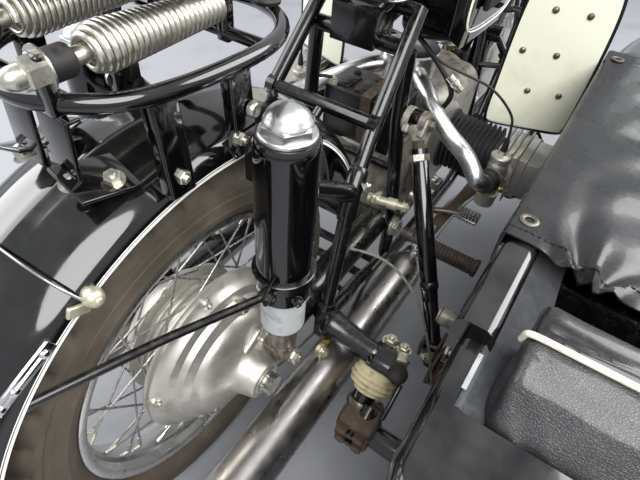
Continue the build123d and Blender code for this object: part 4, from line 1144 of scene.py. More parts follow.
@dataclass
class FinalDrive(SubAssembly):
    """The cast housing of the bevel gears on the right of the rear wheel, with its brake linkage."""

    cover_nuts: Sequence[int] = (24, 96, 168, 240, 312)
    nut_circle: float = 134.0

    def housing(self) -> None:
        """Turns the stepped housing and joins its neck, lugs and ribs."""
        outline = [(36, 139), (37, 143), (41, 143.4), (42.4, 141), (43.6, 141), (45, 143), (49, 142), (51.5, 138),
                   (55, 133), (60, 129.5), (64, 126), (66.5, 119), (68.5, 114), (73, 111.5), (77, 109), (81, 101),
                   (84, 95), (91, 91), (98, 82), (103, 68), (107, 54), (115, 44), (127, 38), (145, 33.5), (148.6, 31),
                   (150, 27), (150, 0)]
        shell = lathe("drive_shell", outline, (0, 0, AXLE_Z), RIGHT, 96, smooth=26)
        neck = lathe("drive_neck", [(0, 50), (18, 46), (40, 40), (50, 37), (51, 41), (56, 41), (56.5, 0)],
                     (36, -95, AXLE_Z), (1, -0.04, 0), 40)
        lug = slab("drive_lug", (38, -116, AXLE_Z + 32), (32, 20, 54), 6)
        ribs = [slab("drive_rib", (16, -104, AXLE_Z + 52), (46, 24, 16), 6, (0, -28, 0)),
                slab("drive_foot", (30, -106, AXLE_Z - 62), (40, 26, 30), 8, (0, 24, 0)),
                slab("drive_rib", (60, -92, AXLE_Z + 44), (64, 10, 10), 3, (0, 18, 0)),
                slab("drive_rib", (60, -92, AXLE_Z - 44), (64, 10, 10), 3, (0, -18, 0))]
        for turn in self.cover_nuts:
            angle = math.radians(turn)
            seat = (math.cos(angle) * self.nut_circle, -44, AXLE_Z + math.sin(angle) * self.nut_circle)
            ribs.append(lathe("cover_boss", [(0, 10), (9, 9), (11, 8), (11.2, 0)], seat, RIGHT, 20))
        self.fit("final_drive_casting", [shell, neck, lug, *ribs], CAST, "final_drive")

    def fittings(self) -> None:
        """Adds the filler and drain plugs, cover nuts, axle nut and washer."""
        steel: Pieces = []
        for angle, far, size in ((72, 103, 21), (-120, 104, 17)):
            turn = math.radians(angle)
            seat = (math.cos(turn) * far, -75, AXLE_Z + math.sin(turn) * far)
            steel.append(lathe("plug", [(-8, 15), (4, 14.5), (5, 13), (5.5, 0)], seat, (0.1, -1, 0.2), 28))
            steel.append(hex_bolt("plug", (seat[0] + 0.5, seat[1] - 5, seat[2] + 1), (0.1, -1, 0.2), size * 0.8, 8))
        for turn in self.cover_nuts:
            angle = math.radians(turn)
            seat = (math.cos(angle) * self.nut_circle, -55, AXLE_Z + math.sin(angle) * self.nut_circle)
            steel.append(hex_bolt("cover_nut", seat, RIGHT, 11, 6, 3, washer=False))
        steel.append(lathe("axle_collar", [(0, 25), (3, 25), (4, 23), (4.2, 0)], (0, -149, AXLE_Z), RIGHT, 32))
        steel.append(hex_bolt("axle_nut", (0, -153, AXLE_Z), RIGHT, 30, 9, 3))
        self.fit("final_drive_fasteners", steel, ZINC)

    def linkage(self) -> None:
        """Bends the brake lever with its eye, rod, sleeve and return spring."""
        steel = [
            slab("lever", (34, -86, 216), (13, 6, 66), 2.5, (0, 36, 0)),
            slab("lever_eye", (16, -84, 240), (28, 14, 24), 6, (0, 36, 0)),
            pipe("brake_rod", [(54, -92, 186), (120, -104, 184), (300, -128, 206), (450, -138, 236)], 3, 2),
            lathe("pin", [(-12, 5), (12, 5), (12, 0)], (54, -92, 188), LEFT, 16),
            hex_bolt("pin_nut", (54, -102, 188), RIGHT, 13, 7, 4),
        ]
        self.fit("brake_linkage", steel, DULL)
        bright = [
            lathe("rod_sleeve", [(0, 5.5), (1, 7), (36, 7), (38, 5), (38, 0)], (30, -98, 214), (0.72, -0.1, -0.68),
                  18),
            hex_bolt("rod_nut", (28, -98, 216), (-0.72, 0.1, 0.68), 12, 9, 14),
            hex_bolt("eye_bolt", (12, -92, 246), RIGHT, 12, 7, 3),
        ]
        coil = wind(0.9, 5.2, 2.4, 17, 12, 7)
        coil.matrix_world = aim((56, -96, 180), (0.8, -0.1, 0.1))
        bright.append(settle(coil, "return_spring", 60))
        self.fit("brake_adjuster", bright, ZINC)

    def build(self) -> None:
        """Makes the housing and what is bolted to it."""
        self.housing()
        self.fittings()
        self.linkage()


@dataclass
class RearShocks(SubAssembly):
    """The two upright spring covers with their caps, bands and lower bodies."""

    x: float = 38.0
    y: float = 151.0

    def build(self) -> None:
        """Turns one side's pieces and copies them across."""
        foot = (self.x, -self.y, 0)
        cover = lathe("cover", [(517, 30), (517, 35.4), (519, 36.6), (524, 36), (744, 36), (750, 35.4), (754, 33.4),
                                (755.4, 30), (755.6, 0)], foot, UP, 72, smooth=30)
        shoulder = lathe("shoulder", [(755, 20), (755, 29.6), (756, 31), (759, 31), (760.6, 29.6), (761, 27),
                                      (761.4, 0)], foot, UP, 64, smooth=30)
        flats = lathe("flats", [(761, 29), (769, 29), (771, 27.4), (771.4, 0)], foot, UP, 6, smooth=20)
        dome = lathe("dome", [(770, 25.6), (773, 25.2), (774.6, 23.6), (779, 22), (783.6, 18), (787, 12), (789.2, 6),
                              (789.9, 0)], foot, UP, 64, smooth=40)
        band = lathe("band", [(449, 20), (449, 30), (450.5, 31.4), (514, 31.4), (518, 31), (518, 0)], foot, UP, 64)
        leg = lathe("leg", [(358, 9), (359, 15), (364, 17), (384, 17.6), (386, 20.5), (396, 21), (398, 19.6),
                            (404, 22), (444, 22.6), (450, 24), (451, 0)], foot, UP, 48)
        pin = lathe("pin", [(0, 9), (8, 9), (9, 13), (56, 13), (57, 9), (62, 9), (62, 0)],
                    (self.x, -self.y + 33, 372), RIGHT, 28)
        nut = hex_bolt("leg_nut", (self.x, -self.y - 24, 372), RIGHT, 19, 9, 3)
        cap = joined("cap", [shoulder, flats, dome])
        for one, name, finish, node in (
            (cover, "shock_cover_pair", BLACK, "shock_covers"),
            (cap, "shock_cap_pair", POLISHED, "shock_caps"),
            (band, "shock_band_pair", BAND_GREY, None),
            (joined("leg", [leg, pin]), "shock_leg_pair", DULL, "shock_legs"),
            (nut, "shock_leg_nuts", ZINC, None),
        ):
            self.fit(name, [one, copied(one, name, across())], finish, *([node] if node else []))


@dataclass
class RearGuard(SubAssembly):
    """The deep rear mudguard with its pinstripes, stays, handle and fittings."""

    centre: Point = (0, 0, AXLE_Z + 14)
    edge: float = 357.0
    half: float = 86.0
    first: float = 196.0
    sweep: float = 187.0
    wire_lean: tuple[float, float] = (-0.485, 0.875)

    def shell(self) -> None:
        """Spins the crowned section round the wheel and gives it its wall."""
        clear_selection()
        section = [(-83.4, 357.4), (-85.4, 357), (-86, 358.4), (-86, 365), (-84.6, 370.5), (-80, 376.5), (-70, 383.5),
                   (-57, 389.2), (-47, 392.6), (-36, 395.4), (-20, 398.2), (-8, 399.6), (-4, 400.6), (0, 400.9)]
        section += [(-y, radius) for y, radius in reversed(section[:-1])]
        start = math.radians(self.first)
        bpy.ops.mesh.primitive_circle_add(vertices=3, radius=0.001, location=(0, 0, 0))
        piece = bpy.context.object
        with editing(piece, "VERT"):
            bpy.ops.mesh.select_all(action="SELECT")
            bpy.ops.mesh.merge(type="CENTER")
            bpy.ops.transform.translate(value=self.place(section[0], start))
            for before, after in zip(section, section[1:]):
                step = self.place(after, start) - self.place(before, start)
                bpy.ops.mesh.extrude_region_move(TRANSFORM_OT_translate={"value": step})
            bpy.ops.mesh.select_all(action="SELECT")
            bpy.ops.mesh.spin(steps=120, angle=-math.radians(self.sweep), center=at(*self.centre), axis=LEFT)
        piece = settle(piece, "rear_mudguard_shell", 30)
        if self.inward(piece):
            with editing(piece):
                bpy.ops.mesh.select_all(action="SELECT")
                bpy.ops.mesh.flip_normals()
        apply_modifier(piece, "SOLIDIFY", thickness=2.6 * MM, offset=-1.0, use_even_offset=True)
        self.dress(piece, GUARD_BLACK, "rear_mudguard")

    def inward(self, piece: bpy.types.Object) -> bool:
        """Says whether the shell's faces point at the wheel."""
        hub_line = at(*self.centre)
        total = sum((face.center - hub_line).dot(face.normal) for face in piece.data.polygons)
        return total < 0

    def place(self, row: Point, angle: float) -> Vector:
        """Puts a row of the section at an angle round the wheel."""
        y, radius = row
        return at(self.centre[0] + math.cos(angle) * radius, y, self.centre[2] + math.sin(angle) * radius)

    def stripes(self) -> None:
        """Lays the wide and the narrow painted line on each side wall."""
        bands: Pieces = []
        for near, far in ((358.4, 361.6), (363.2, 364.2)):
            for side in (-1, 1):
                def where(share_across: float, share_along: float) -> Point:
                    """Gives a place on the stripe from its share across and round the wheel."""
                    angle = math.radians(self.first - 1 - (self.sweep - 2) * share_along)
                    reach = near + (far - near) * share_across
                    return (self.centre[0] + math.cos(angle) * reach, side * 86.25,
                            self.centre[2] + math.sin(angle) * reach)

                bands.append(grid_sheet("stripe", 1, 90, where, 0.4))
        self.fit("rear_mudguard_stripes", bands, LINING_WHITE)

    def stays(self) -> None:
        """Makes the two stay rods and their clamp rings at the spring covers."""
        rods: Pieces = []
        ring_rows = [(-8, 36.2), (-8, 40.2), (-7, 41.4), (7, 41.4), (8, 40.2), (8, 36.2), (-8, 36.2)]
        rods += [lathe("ring", ring_rows, (38, -151, 556), UP, 56, looped=True),
                 slab("ear", (-4, -160, 556), (30, 6, 20), 3, (0, 0, 20)),
                 lathe("ear_boss", [(0, 9), (11, 9), (12, 8), (12, 0)], (-12, -154, 556), RIGHT, 24),
                 pipe("stay", [(-264, -79, 583), (-130, -119, 570), (-14, -160, 557)], 5.4, 4, order=2),
                 slab("stay_foot", (-266, -78.5, 583), (28, 5, 18), 2, (0, 0, -14))]
        bolts = [hex_bolt("stay_bolt", (-12, -166, 556), (0.1, -1, 0), 14, 7, 2),
                 hex_bolt("ring_bolt", (6, -196, 556), (-0.7, -0.5, 0), 10, 6, 3)]
        for pieces, name, finish, node in ((rods, "guard_stay_rods", FRAME_BLACK, ("guard_stays",)),
                                           (bolts, "guard_stay_bolts", FRAME_BLACK, ())):
            one = joined(name, pieces)
            self.fit(name, [one, copied(one, name, across())], finish, *node)

    def fittings(self) -> None:
        """Adds the wire clamp's knob, the lifting handle and the crown's bolted bracket."""
        knob = [lathe("knob", [(0, 8), (4, 9.6), (9, 10.4), (14, 8.8), (17, 6), (18, 0)], (-172, -84, 662),
                      (0, -1, 0.1), 28, smooth=50),
                slab("knob_ear", (-186, -88, 655), (24, 5, 12), 2, (0, 24, 0)),
                round_bolt("knob_screw", (-172, -101, 664), (0, -1, 0.1), 4.4, 3)]
        self.fit("wire_clamp", knob, WHITE_METAL)
        rows = ((-91, 372), (-86, 384), (-72, 397), (-45, 405.6), (-10, 407), (30, 406.6), (60, 402), (80, 390),
                (90, 374))
        back, up = self.wire_lean
        line = [(back * radius, y, self.centre[2] + up * radius) for y, radius in rows]
        wire = pipe("clamp_wire", line, 1.5, 2)
        self.dress(wire, STEEL)
        handle = [slab("handle", (-250, -85, 622), (74, 4, 15), 1.8, (0, -26, 0)),
                  slab("handle_rib", (-250, -87.5, 622), (60, 3, 5), 1.2, (0, -26, 0))]
        for far in (-30, -12, 26):
            turn = math.radians(26)
            handle.append(round_bolt("handle_screw", (-250 + math.cos(turn) * far, -87, 622 + math.sin(turn) * far),
                                     RIGHT, 5, 3.4))
        self.fit("lifting_handle", handle, CHROME_TRIM)
        plates = [slab("crown_plate", (-108, 44, 736), (64, 50, 4), 1.5, (-16, 15, 0)),
                  slab("crown_web", (-122, 26, 766), (5, 40, 66), 1.8, (0, 4, 0)),
                  slab("crown_plate", (-108, -44, 736), (64, 50, 4), 1.5, (16, 15, 0)),
                  slab("crown_web", (-122, -26, 766), (5, 40, 66), 1.8, (0, 4, 0))]
        self.fit("crown_brackets", plates, BLACK)
        bolts = []
        for side in (-1, 1):
            bolts.append(hex_bolt("crown_bolt", (-100, side * 56, 735), (-0.24, side * 0.26, 0.94), 14, 8, 3))
            bolts.append(hex_bolt("crown_bolt", (-128, side * 34, 737), (-0.24, side * 0.26, 0.94), 14, 8, 3))
        self.fit("crown_bolts", bolts, ZINC)

    def build(self) -> None:
        """Makes the guard and what sits on it."""
        self.shell()
        self.stripes()
        self.stays()
        self.fittings()


@dataclass
class PillionRack(SubAssembly):
    """The ring-shaped carrier over the guard with the pillion saddle and its two coil springs."""

    level: float = 820.0
    spring_z: float = 848.0
    spring_y: float = 50.0
    turns: int = 24
    long: float = 146.0
    wound: float = 17.0
    widest: float = 18.4
    neck: float = 0.12

    def ring(self) -> None:
        """Bends the rounded tubular ring with its cross bars and legs."""
        half = [(10, 106), (60, 106), (104, 94), (140, 62), (156, 24), (158, 0)]
        back = [(-40, 102), (-88, 90), (-120, 60), (-136, 28), (-138, 0)]
        level = self.level
        corners = [(x, y, level) for x, y in half] + [(x, -y, level) for x, y in reversed(half[:-1])]
        corners += [(x, -y, level) for x, y in back] + [(x, y, level) for x, y in reversed(back[:-1])]
        pieces = [pipe("ring", corners, 8.4, 5, closed=True)]
        for x, reach in ((66, 102), (-118, 58)):
            pieces.append(pipe("bar", [(x, -reach, level), (x, 0, level), (x, reach, level)], 6.5, 3))
        for side in (-1, 1):
            for x, foot in ((36, 712), (-58, 716)):
                pieces.append(slab("leg", (x, side * 95, 766), (30, 6, 104), 2.5, (side * 5, 0, 0)))
                pieces.append(slab("leg_flange", (x, side * 84, foot + 2), (30, 26, 5), 2, (side * -18, 0, 0)))
                pieces.append(slab("leg_fold", (x - 14, side * 90, 766), (4, 14, 96), 1.6, (side * 5, 0, 0)))
            pieces.append(slab("lug", (-128, side * 50, 836), (12, 16, 50), 3))
            pieces.append(slab("lug", (66, side * 50, 836), (12, 16, 50), 3))
        self.fit("pillion_rack_tubes", pieces, BLACK, "pillion_rack")
        metal = []
        for side in (-1, 1):
            metal.append(hex_bolt("leg_bolt", (26, side * 98.5, 735), (0, side, 0), 13, 7, 3))
            metal.append(lathe("leg_plug", [(0, 9), (5, 8.6), (7, 7), (7.4, 4), (5.6, 0)], (44, side * 100, 762),
                               (0, side, 0), 24))
            metal.append(hex_bolt("leg_bolt", (-58, side * 98.5, 735), (0, side, 0), 13, 7, 3))
        self.fit("pillion_rack_bolts", metal, ZINC)
        knob = lathe("knob_disc", [(0, 7), (2, 7), (3, 15), (7, 16), (9, 14.6), (10, 0)], (140, -44, 826), UP, 32)
        self.dress(knob, RUBBER)

    def springs(self) -> None:
        """Winds one tapered tension spring, with its rubber sleeve, nut and dome, and copies it."""
        coil = wind(2.75, self.wound, self.long / self.turns, self.turns, 22, 10)
        for vertex in coil.data.vertices:
            far = vertex.co.z / (self.long * MM)
            flat = Vector((vertex.co.x, vertex.co.y, 0))
            grow = (self.widest - 7.0 * max(far - self.neck, 0)) * MM
            if far < self.neck:
                grow = (12.5 + 5.9 * math.sin(max(far, 0) / self.neck * math.pi / 2)) * MM
            moved = flat.normalized() * (grow + (flat.length - self.wound * MM))
            vertex.co.x, vertex.co.y = moved.x, moved.y
        height = self.spring_z
        coil.matrix_world = aim((-90, -self.spring_y, height), AHEAD)
        coil = settle(coil, "coil", 60)
        hook = pipe("hook", [(-88, -50, height), (-97, -50, height), (-104, -50, height)], 7.5, 4)
        far_hook = pipe("hook", [(56, -50, height), (62, -50, height), (70, -50, height - 4), (72, -50, 838)], 3, 3)
        wire = joined("wire", [coil, hook, far_hook])
        self.fit("pillion_coils", [wire, copied(wire, "coil", across())], SPRING, "pillion_springs")
        sleeve = lathe("sleeve", [(0, 8), (0, 12.4), (2, 13.2), (22, 13.2), (24, 12), (26, 9), (26, 0)],
                       (-128, -50, height), AHEAD, 32)
        self.fit("pillion_sleeves", [sleeve, copied(sleeve, "sleeve", across())], RUBBER)
        nut = hex_bolt("nut", (-128, -50, height), BACK, 23, 15)
        dome = lathe("dome", [(0, 9.4), (7, 9), (12, 7.4), (15, 4.4), (16.4, 0)], (-142, -50, height), BACK, 24)
        end = joined("end", [nut, dome])
        self.fit("pillion_spring_nuts", [end, copied(end, "nut", across())], ZINC)

    def saddle(self) -> None:
        """Pads the pillion saddle on its post."""
        outline = [(-108, 0), (-108, 66), (-88, 98), (30, 102), (112, 58), (186, 30), (190, 0)]
        pad_saddle(self, "pillion_saddle_pad", outline, 912.0, 957.0, SADDLE, "pillion_saddle")
        post = lathe("pillion_post", [(827, 9), (827, 15), (830, 16), (838, 10), (913, 9), (914, 0)], (66, 0, 0),
                     UP, 28)
        self.dress(post, BLACK)

    def build(self) -> None:
        """Makes the ring, the springs and the saddle above them."""
        self.ring()
        self.springs()
        self.saddle()


@dataclass
class BikeFrame(SubAssembly):
    """Frame tubes, swing arm, rear axle, rests and what stays plain black or steel on them."""

    def sleeves(self) -> None:
        """Turns the brazed sleeves, lugs and collars at the joints of the rear frame."""
        pieces: Pieces = []
        for side in (-1, 1):
            lug = Vector((262, side * 120, 520))
            for end, size in (((344, side * 104, 605), 17), ((214, side * 136, 425), 17),
                              ((150, side * 114, 600), 15)):
                way = (Vector(end) - lug).normalized()
                rows = [(-6, size * 0.6), (0, size), (34, size), (44, size - 1.4), (46, size - 3), (46, 0)]
                pieces.append(lathe("lug_sleeve", rows, lug, way, 32, smooth=40))
            foot = Vector((165, side * 148, 300))
            way = (Vector((214, side * 136, 425)) - foot).normalized()
            pieces.append(lathe("foot_socket", [(0, 19), (26, 19), (30, 17.6), (31, 14), (31, 0)], foot + way * 10,
                                way, 32))
            pieces.append(lathe("cross_lug", [(-8, 14), (-8, 18), (8, 18), (8, 14)], (344, side * 104, 605),
                                LEFT, 32))
            pieces.append(slab("gusset", (100, side * 112, 660), (4, 10, 90), 1.5, (0, -38, 0)))
        self.fit("frame_lugs", pieces, FRAME_BLACK)

    def fasteners(self) -> None:
        """Adds the pivot's big nuts, the bolts of the lugs and the brake's cross shaft."""
        steel: Pieces = []
        for side in (-1, 1):
            steel.append(lathe("pivot_collar", [(0, 21), (5, 21), (6, 19), (6, 0)], (434, side * 141.5, 336),
                               (0, side, 0), 32))
            steel.append(hex_bolt("pivot_nut", (434, side * 147, 336), (0, side, 0), 32, 12, washer=False))
            steel.append(hex_bolt("lug_pinch", (272, side * 138, 536), (0.5, side * 0.6, 0.5), 13, 8, 3))
            steel.append(hex_bolt("foot_bolt", (176, side * 160.5, 322), (0, side, 0), 15, 8, 3))
            steel.append(hex_bolt("foot_bolt", (176, side * 160.5, 294), (0, side, 0), 15, 8, 3))
        self.fit("frame_fasteners", steel, ZINC)
        shaft = [lathe("shaft", [(0, 11), (16, 11), (17, 9), (40, 9), (41, 12), (60, 12), (61, 8), (72, 8), (72, 0)],
                       (408, -88, 402), (0.2, -1, 0.05), 28),
                 slab("shaft_arm", (410, -104, 410), (40, 10, 18), 4, (0, 20, 0)),
                 hex_bolt("shaft_end", (422, -160, 406), (0.2, -1, 0.05), 17, 9, 3)]
        self.fit("brake_shaft", shaft, WHITE_METAL)

    def rests(self) -> None:
        """Turns the ribbed footrest rubbers, the pedals with serrated pads, and their rods."""
        rubbers: Pieces = []
        controls: Pieces = []
        pads: Pieces = []
        for side in (-1, 1):
            rows: Profile = [(0, 11), (0, 17)]
            for number in range(13):
                near = 3 + number * 8
                rows += [(near, 17), (near + 0.8, 18.4), (near + 5, 18.4), (near + 5.8, 16.6)]
            rows += [(110, 17), (111, 20.6), (119, 20.6), (120.5, 19), (121, 0)]
            rubbers.append(lathe("rest", rows, (506, side * 209, 262), (0, side, 0), 40, smooth=25))
            controls.append(pipe("rest_rod", [(500, side * 125, 190), (503, side * 138, 230), (506, side * 152, 262),
                                              (506, side * 212, 262)], 9, 4))
            controls.append(pipe("pedal_arm", [(508, side * 158, 264), (560, side * 160, 267), (612, side * 162, 270),
                                               (634, side * 200, 272), (642, side * 226, 272)], 8, 4))
            controls.append(lathe("pedal_boss", [(-14, 14), (14, 14), (14, 0)], (508, side * 158, 264), LEFT, 28))
            pads.append(slab("pad", (652, side * 245, 270), (44, 60, 8), 2))
            for row in range(5):
                for column in range(7):
                    pads.append(slab("tooth", (636 + row * 8, side * (221 + column * 8), 275.5), (5, 5, 5), 1))
        self.fit("rest_rubbers", rubbers, FOOT_RUBBER, "footrests")
        self.fit("pedal_arms", controls, DULL, "foot_controls")
        self.fit("pedal_pads", pads, STEEL)
        flat = strap("exhaust_strap", [(612, -190, 232), (700, -206, 262), (790, -214, 282)], 24, 5, (0.1, 1, 0))
        self.dress(flat, RUSTY)

    def build(self) -> None:
        """Dresses the frame's CAD nodes and adds what is brazed or bolted to them."""
        for node, finish, edge in (("main_frame", FRAME_BLACK, 0.0), ("rear_frame", FRAME_BLACK, 0.0),
                                   ("swing_arm", FRAME_BLACK, 0.0), ("rear_axle", STEEL, 0.0),
                                   ("shield_stays", FRAME_BLACK, 0.0)):
            self.refine(node, finish, edge=edge)
        self.refine("saddle_mount", FRAME_BLACK, edge=3)
        self.sleeves()
        self.fasteners()
        self.rests()


@dataclass
class TailLamp(SubAssembly):
    """The tail lamp with its ruby glass, and the plain rear plate in its holder."""

    def build(self) -> None:
        """Turns the lamp along its tilted axis and folds the plate."""
        along = Vector((-84, 0, 22)).normalized()
        start = Vector((-320, 0, 552))
        body = lathe("lamp_body", [(6, 14), (8, 24), (14, 29.6), (70, 29.6), (72, 31), (76, 31), (77, 29), (77, 0)],
                     start, along, 40)
        self.dress(body, BLACK, "tail_lamp")
        glass = lathe("lamp_glass", [(76, 28), (80, 27), (84, 22), (86.4, 12), (87, 0)], start, along, 40)
        self.dress(glass, RED_GLASS)
        plate = slab("rear_plate", (-410, 0, 430), (3, 180, 150), 1.2)
        rim_bar = [slab("plate_edge", (-411.4, 0, 503), (2.4, 178, 3), 0.8),
                   slab("plate_edge", (-411.4, 0, 357), (2.4, 178, 3), 0.8)]
        self.fit("rear_plate", [plate, *rim_bar], IVORY)
        arms = [pipe("plate_arm", [(-352, 0, 498), (-380, 0, 500), (-408, 0, 500)], 7, 4),
                pipe("plate_arm", [(-376, 0, 402), (-394, 0, 400), (-408, 0, 400)], 7, 4)]
        self.fit("plate_arms", arms, BLACK)
        screws = [hex_bolt("plate_screw", (-411.2, side * 65, 480), BACK, 9, 3) for side in (-1, 1)]
        self.fit("plate_screws", screws, ZINC)


@dataclass
class Engine(SubAssembly):
    """The flat-twin engine with its barrels, carburettors, air pipes and exhausts."""

    middle: float = 748.0
    stagger: float = 18.0
    bore_z: float = 400.0
    intake_y: float = 271.0
    silencer_y: float = 187.0
    silencer_z: float = 222.0
    case_screws: Rows = ((610, 500), (742, 262), (600, 300))

    def bore_x(self, side: int) -> float:
        """Gives the place of one side's cylinder along the vehicle."""
        return self.middle + side * self.stagger

    def casings(self) -> None:
        """Dresses the crankcase and gearbox and adds their covers, bosses, screws and nuts."""
        self.refine("engine_block", OILY_CAST, edge=6)
        cast: Pieces = []
        for side in (-1, 1):
            cast.append(lathe("side_cover", [(0, 112), (4, 112), (7, 108), (9, 96), (10, 60), (10, 0)],
                              (688, side * 114, 392), (0, side, 0), 72, smooth=30))
            cast.append(slab("case_web", (640, side * 108, 470), (90, 18, 60), 14))
            for x, z in self.case_screws:
                cast.append(lathe("screw_boss", [(0, 13), (12, 11.6), (14, 10.4), (14.2, 0)], (x, side * 112, z),
                                  (0, side, 0), 24))
            cast.append(lathe("gear_boss", [(0, 34), (8, 32), (12, 26), (13, 0)], (540, side * 84, 372),
                              (0, side, 0), 40))
        cast.append(lathe("gear_cover", [(0, 60), (5, 60), (7, 56), (8, 0)], (530, 0, 459), UP, 48))
        self.fit("engine_covers", cast, CAST)
        screws: Pieces = []
        for side in (-1, 1):
            for x, z in self.case_screws:
                screws.append(round_bolt("case_screw", (x, side * 126, z), (0, side, 0), 7, 4))
            for number in range(5):
                screws.append(hex_bolt("base_nut", (640 + number * 50, side * 90, 250), UP, 11, 7, 3))
        self.fit("engine_screws", screws, DULL)

    def barrels(self) -> None:
        """Turns the finned barrels, and dresses the heads with their covers, nuts and plugs."""
        fins: Pieces = []
        extras: Pieces = []
        plugs: Pieces = []
        caps: Pieces = []
        for side in (-1, 1):
            x = self.bore_x(side)
            rows: Profile = [(120.2, 50), (120.2, 72), (128, 72), (128, 47)]
            for number in range(10):
                near = 134 + number * 11.6
                rows += [(near, 47), (near + 0.6, 66), (near + 2.4, 66.4), (near + 3.2, 47)]
            rows += [(252, 47), (252, 0)]
            fins.append(lathe("barrel", rows, (x, 0, self.bore_z), (0, side, 0), 56, smooth=25))
            for number in range(4):
                spot_x = x + (-44 if number % 2 else 44)
                spot_z = self.bore_z + (-36 if number < 2 else 36)
                extras.append(hex_bolt("head_nut", (spot_x, side * 356.4, spot_z), (0, side, 0), 13, 7, 3))
            caps.append(slab("rocker_cover", (x, side * 343, self.bore_z), (104, 36, 80), 12))
            caps.append(slab("cover_rib", (x, side * 358, self.bore_z), (70, 6, 12), 2.5))
            plugs.append(lathe("plug_shell", [(0, 9), (10, 9), (11, 6), (22, 6), (23, 9), (44, 8), (46, 5), (46, 0)],
                               (x + 66, side * 292, 430), (0.75, side * 0.1, 0.6), 20))
        self.fit("barrel_fins", fins, IRON, "cylinders")
        self.refine("cylinder_heads", CAST, edge=1.2)
        self.fit("rocker_covers", caps, CAST)
        self.fit("head_nuts", extras, ZINC)
        self.fit("plug_caps", plugs, RUBBER)

    def carburettors(self) -> None:
        """Turns the carburettors with bowls and caps, and bends the bright air pipes to the air cleaner."""
        bodies: Pieces = []
        bowls: Pieces = []
        pipes: Pieces = []
        collars: Pieces = []
        brass: Pieces = []
        for side in (-1, 1):
            x = self.bore_x(side) - 70
            bodies.append(lathe("throat", [(-6, 15), (-6, 26), (0, 27), (4, 27), (6, 19), (40, 18), (42, 22),
                                           (62, 23), (66, 20), (66, 0)], (x + 6, side * 274.6, 412.6),
                                (-1, side * -0.1, 0.11), 36))
            bodies.append(lathe("chamber", [(356, 17), (358, 19), (430, 19), (431, 21), (446, 21.6), (449, 20),
                                            (456, 18), (457, 0)], (x - 30, side * self.intake_y, 0), UP, 36))
            knurled: Profile = [(0, 20), (1, 21.6), (11, 21.6), (13, 19), (16, 9), (24, 6), (24, 0)]
            bodies.append(lathe("ring_cap", knurled, (x - 30, side * self.intake_y, 456), UP, 28, smooth=12))
            bowls.append(lathe("bowl", [(0, 12), (2, 21), (26, 23), (30, 24), (34, 24), (36, 18), (37, 0)],
                               (x - 30, side * self.intake_y, 340), UP, 32))
            bowls.append(slab("bowl_lug", (x - 4, side * 276, 352), (30, 18, 14), 4))
            line = [(x - 52, side * 269, 418.6), (x - 76, side * 266, 422), (x - 104, side * 254, 434),
                    (585, side * 214, 464), (572, side * 166, 500), (588, side * 116, 532), (622, side * 76, 554),
                    (650, side * 46, 561), (666, side * 32, 562)]
            pipes.append(pipe("air_pipe", line, 18.6, 8))
            collars.append(lathe("collar", [(0, 19), (0, 23.6), (4, 25), (9, 23.2), (14, 25), (19, 23.2), (24, 25),
                                            (28, 23.4), (28, 19)], (x - 54, side * 269, 418),
                                 (-0.96, side * -0.14, 0.2), 36))
            brass.append(hex_bolt("jet_plug", (x - 30, side * self.intake_y, 341), DOWN, 15, 8, washer=False))
            brass.append(hex_bolt("union", (x + 10, side * 288, 362), (0.2, side, 0), 13, 10, 6))
            brass.append(round_bolt("slide_screw", (x - 30, side * 290, 416), (0, side, 0), 5, 4))
        self.fit("carburettor_bodies", bodies, CAST, "carburettors")
        self.fit("float_bowls", bowls, WHITE_METAL)
        self.fit("air_pipes", pipes, POLISHED)
        self.fit("air_collars", collars, RUBBER)
        self.fit("carburettor_brass", brass, BRASS)
        can = lathe("air_can", [(526.4, 40), (527, 60), (530, 62), (586, 62), (588, 65), (596, 66), (600, 64),
                                (602, 56), (601, 30), (603, 12), (603, 0)], (690, 0, 0), UP, 72, smooth=30)
        self.dress(can, CHROME, "air_cleaner")

    def exhausts(self) -> None:
        """Turns the long silencers with clamps and bends the pipes down to them."""
        shells: Pieces = []
        clamps: Pieces = []
        for side in (-1, 1):
            x = self.bore_x(side) + 60
            outline = [(-500, 20), (-500, 24), (-487, 24.4), (-484, 24), (-452, 39), (-441, 42.4), (-428, 43.6),
                       (-416, 44), (200, 44), (250, 43.6), (262, 42.6), (300, 37.4), (404, 22), (415, 20), (415, 17),
                       (380, 17), (380, 0)]
            shells.append(lathe("silencer", outline, (0, side * self.silencer_y, self.silencer_z), BACK, 64,
                                smooth=30))
            run = [(x + 8.2, side * 290, 398), (x + 40, side * 290, 398), (x + 82, side * 290, 398),
                   (x + 96, side * 286, 372), (x + 94, side * 262, 316), (x + 90, side * 238, 252),
                   (x + 70, side * 222, 226), (x, side * 200, 213), (x - 60, side * 188, 211),
                   (560, side * self.silencer_y, 218), (486, side * self.silencer_y, self.silencer_z)]
            shells.append(pipe("down_pipe", run, 19, 6))
            clamps.append(lathe("clamp", [(0, 24), (0, 27), (14, 27), (14, 24)],
                                (484, side * self.silencer_y, self.silencer_z), AHEAD, 40))
            clamps.append(slab("clamp_lug", (491, side * self.silencer_y, 254), (14, 12, 16), 2))
            clamps.append(hex_bolt("clamp_bolt", (491, side * 194, 254), (0, side, 0), 11, 7, 3))
            clamps.append(lathe("port_nut", [(0, 24), (2, 29), (16, 29), (18, 24), (18, 0)], (x + 4, side * 290, 398),
                                AHEAD, 14, smooth=15))
            clamps.append(slab("hanger", (330, side * 160, 230), (40, 24, 6), 2))
        self.fit("silencers", shells, CHROME, "exhausts")
        self.fit("exhaust_clamps", clamps, CHROME_TRIM)

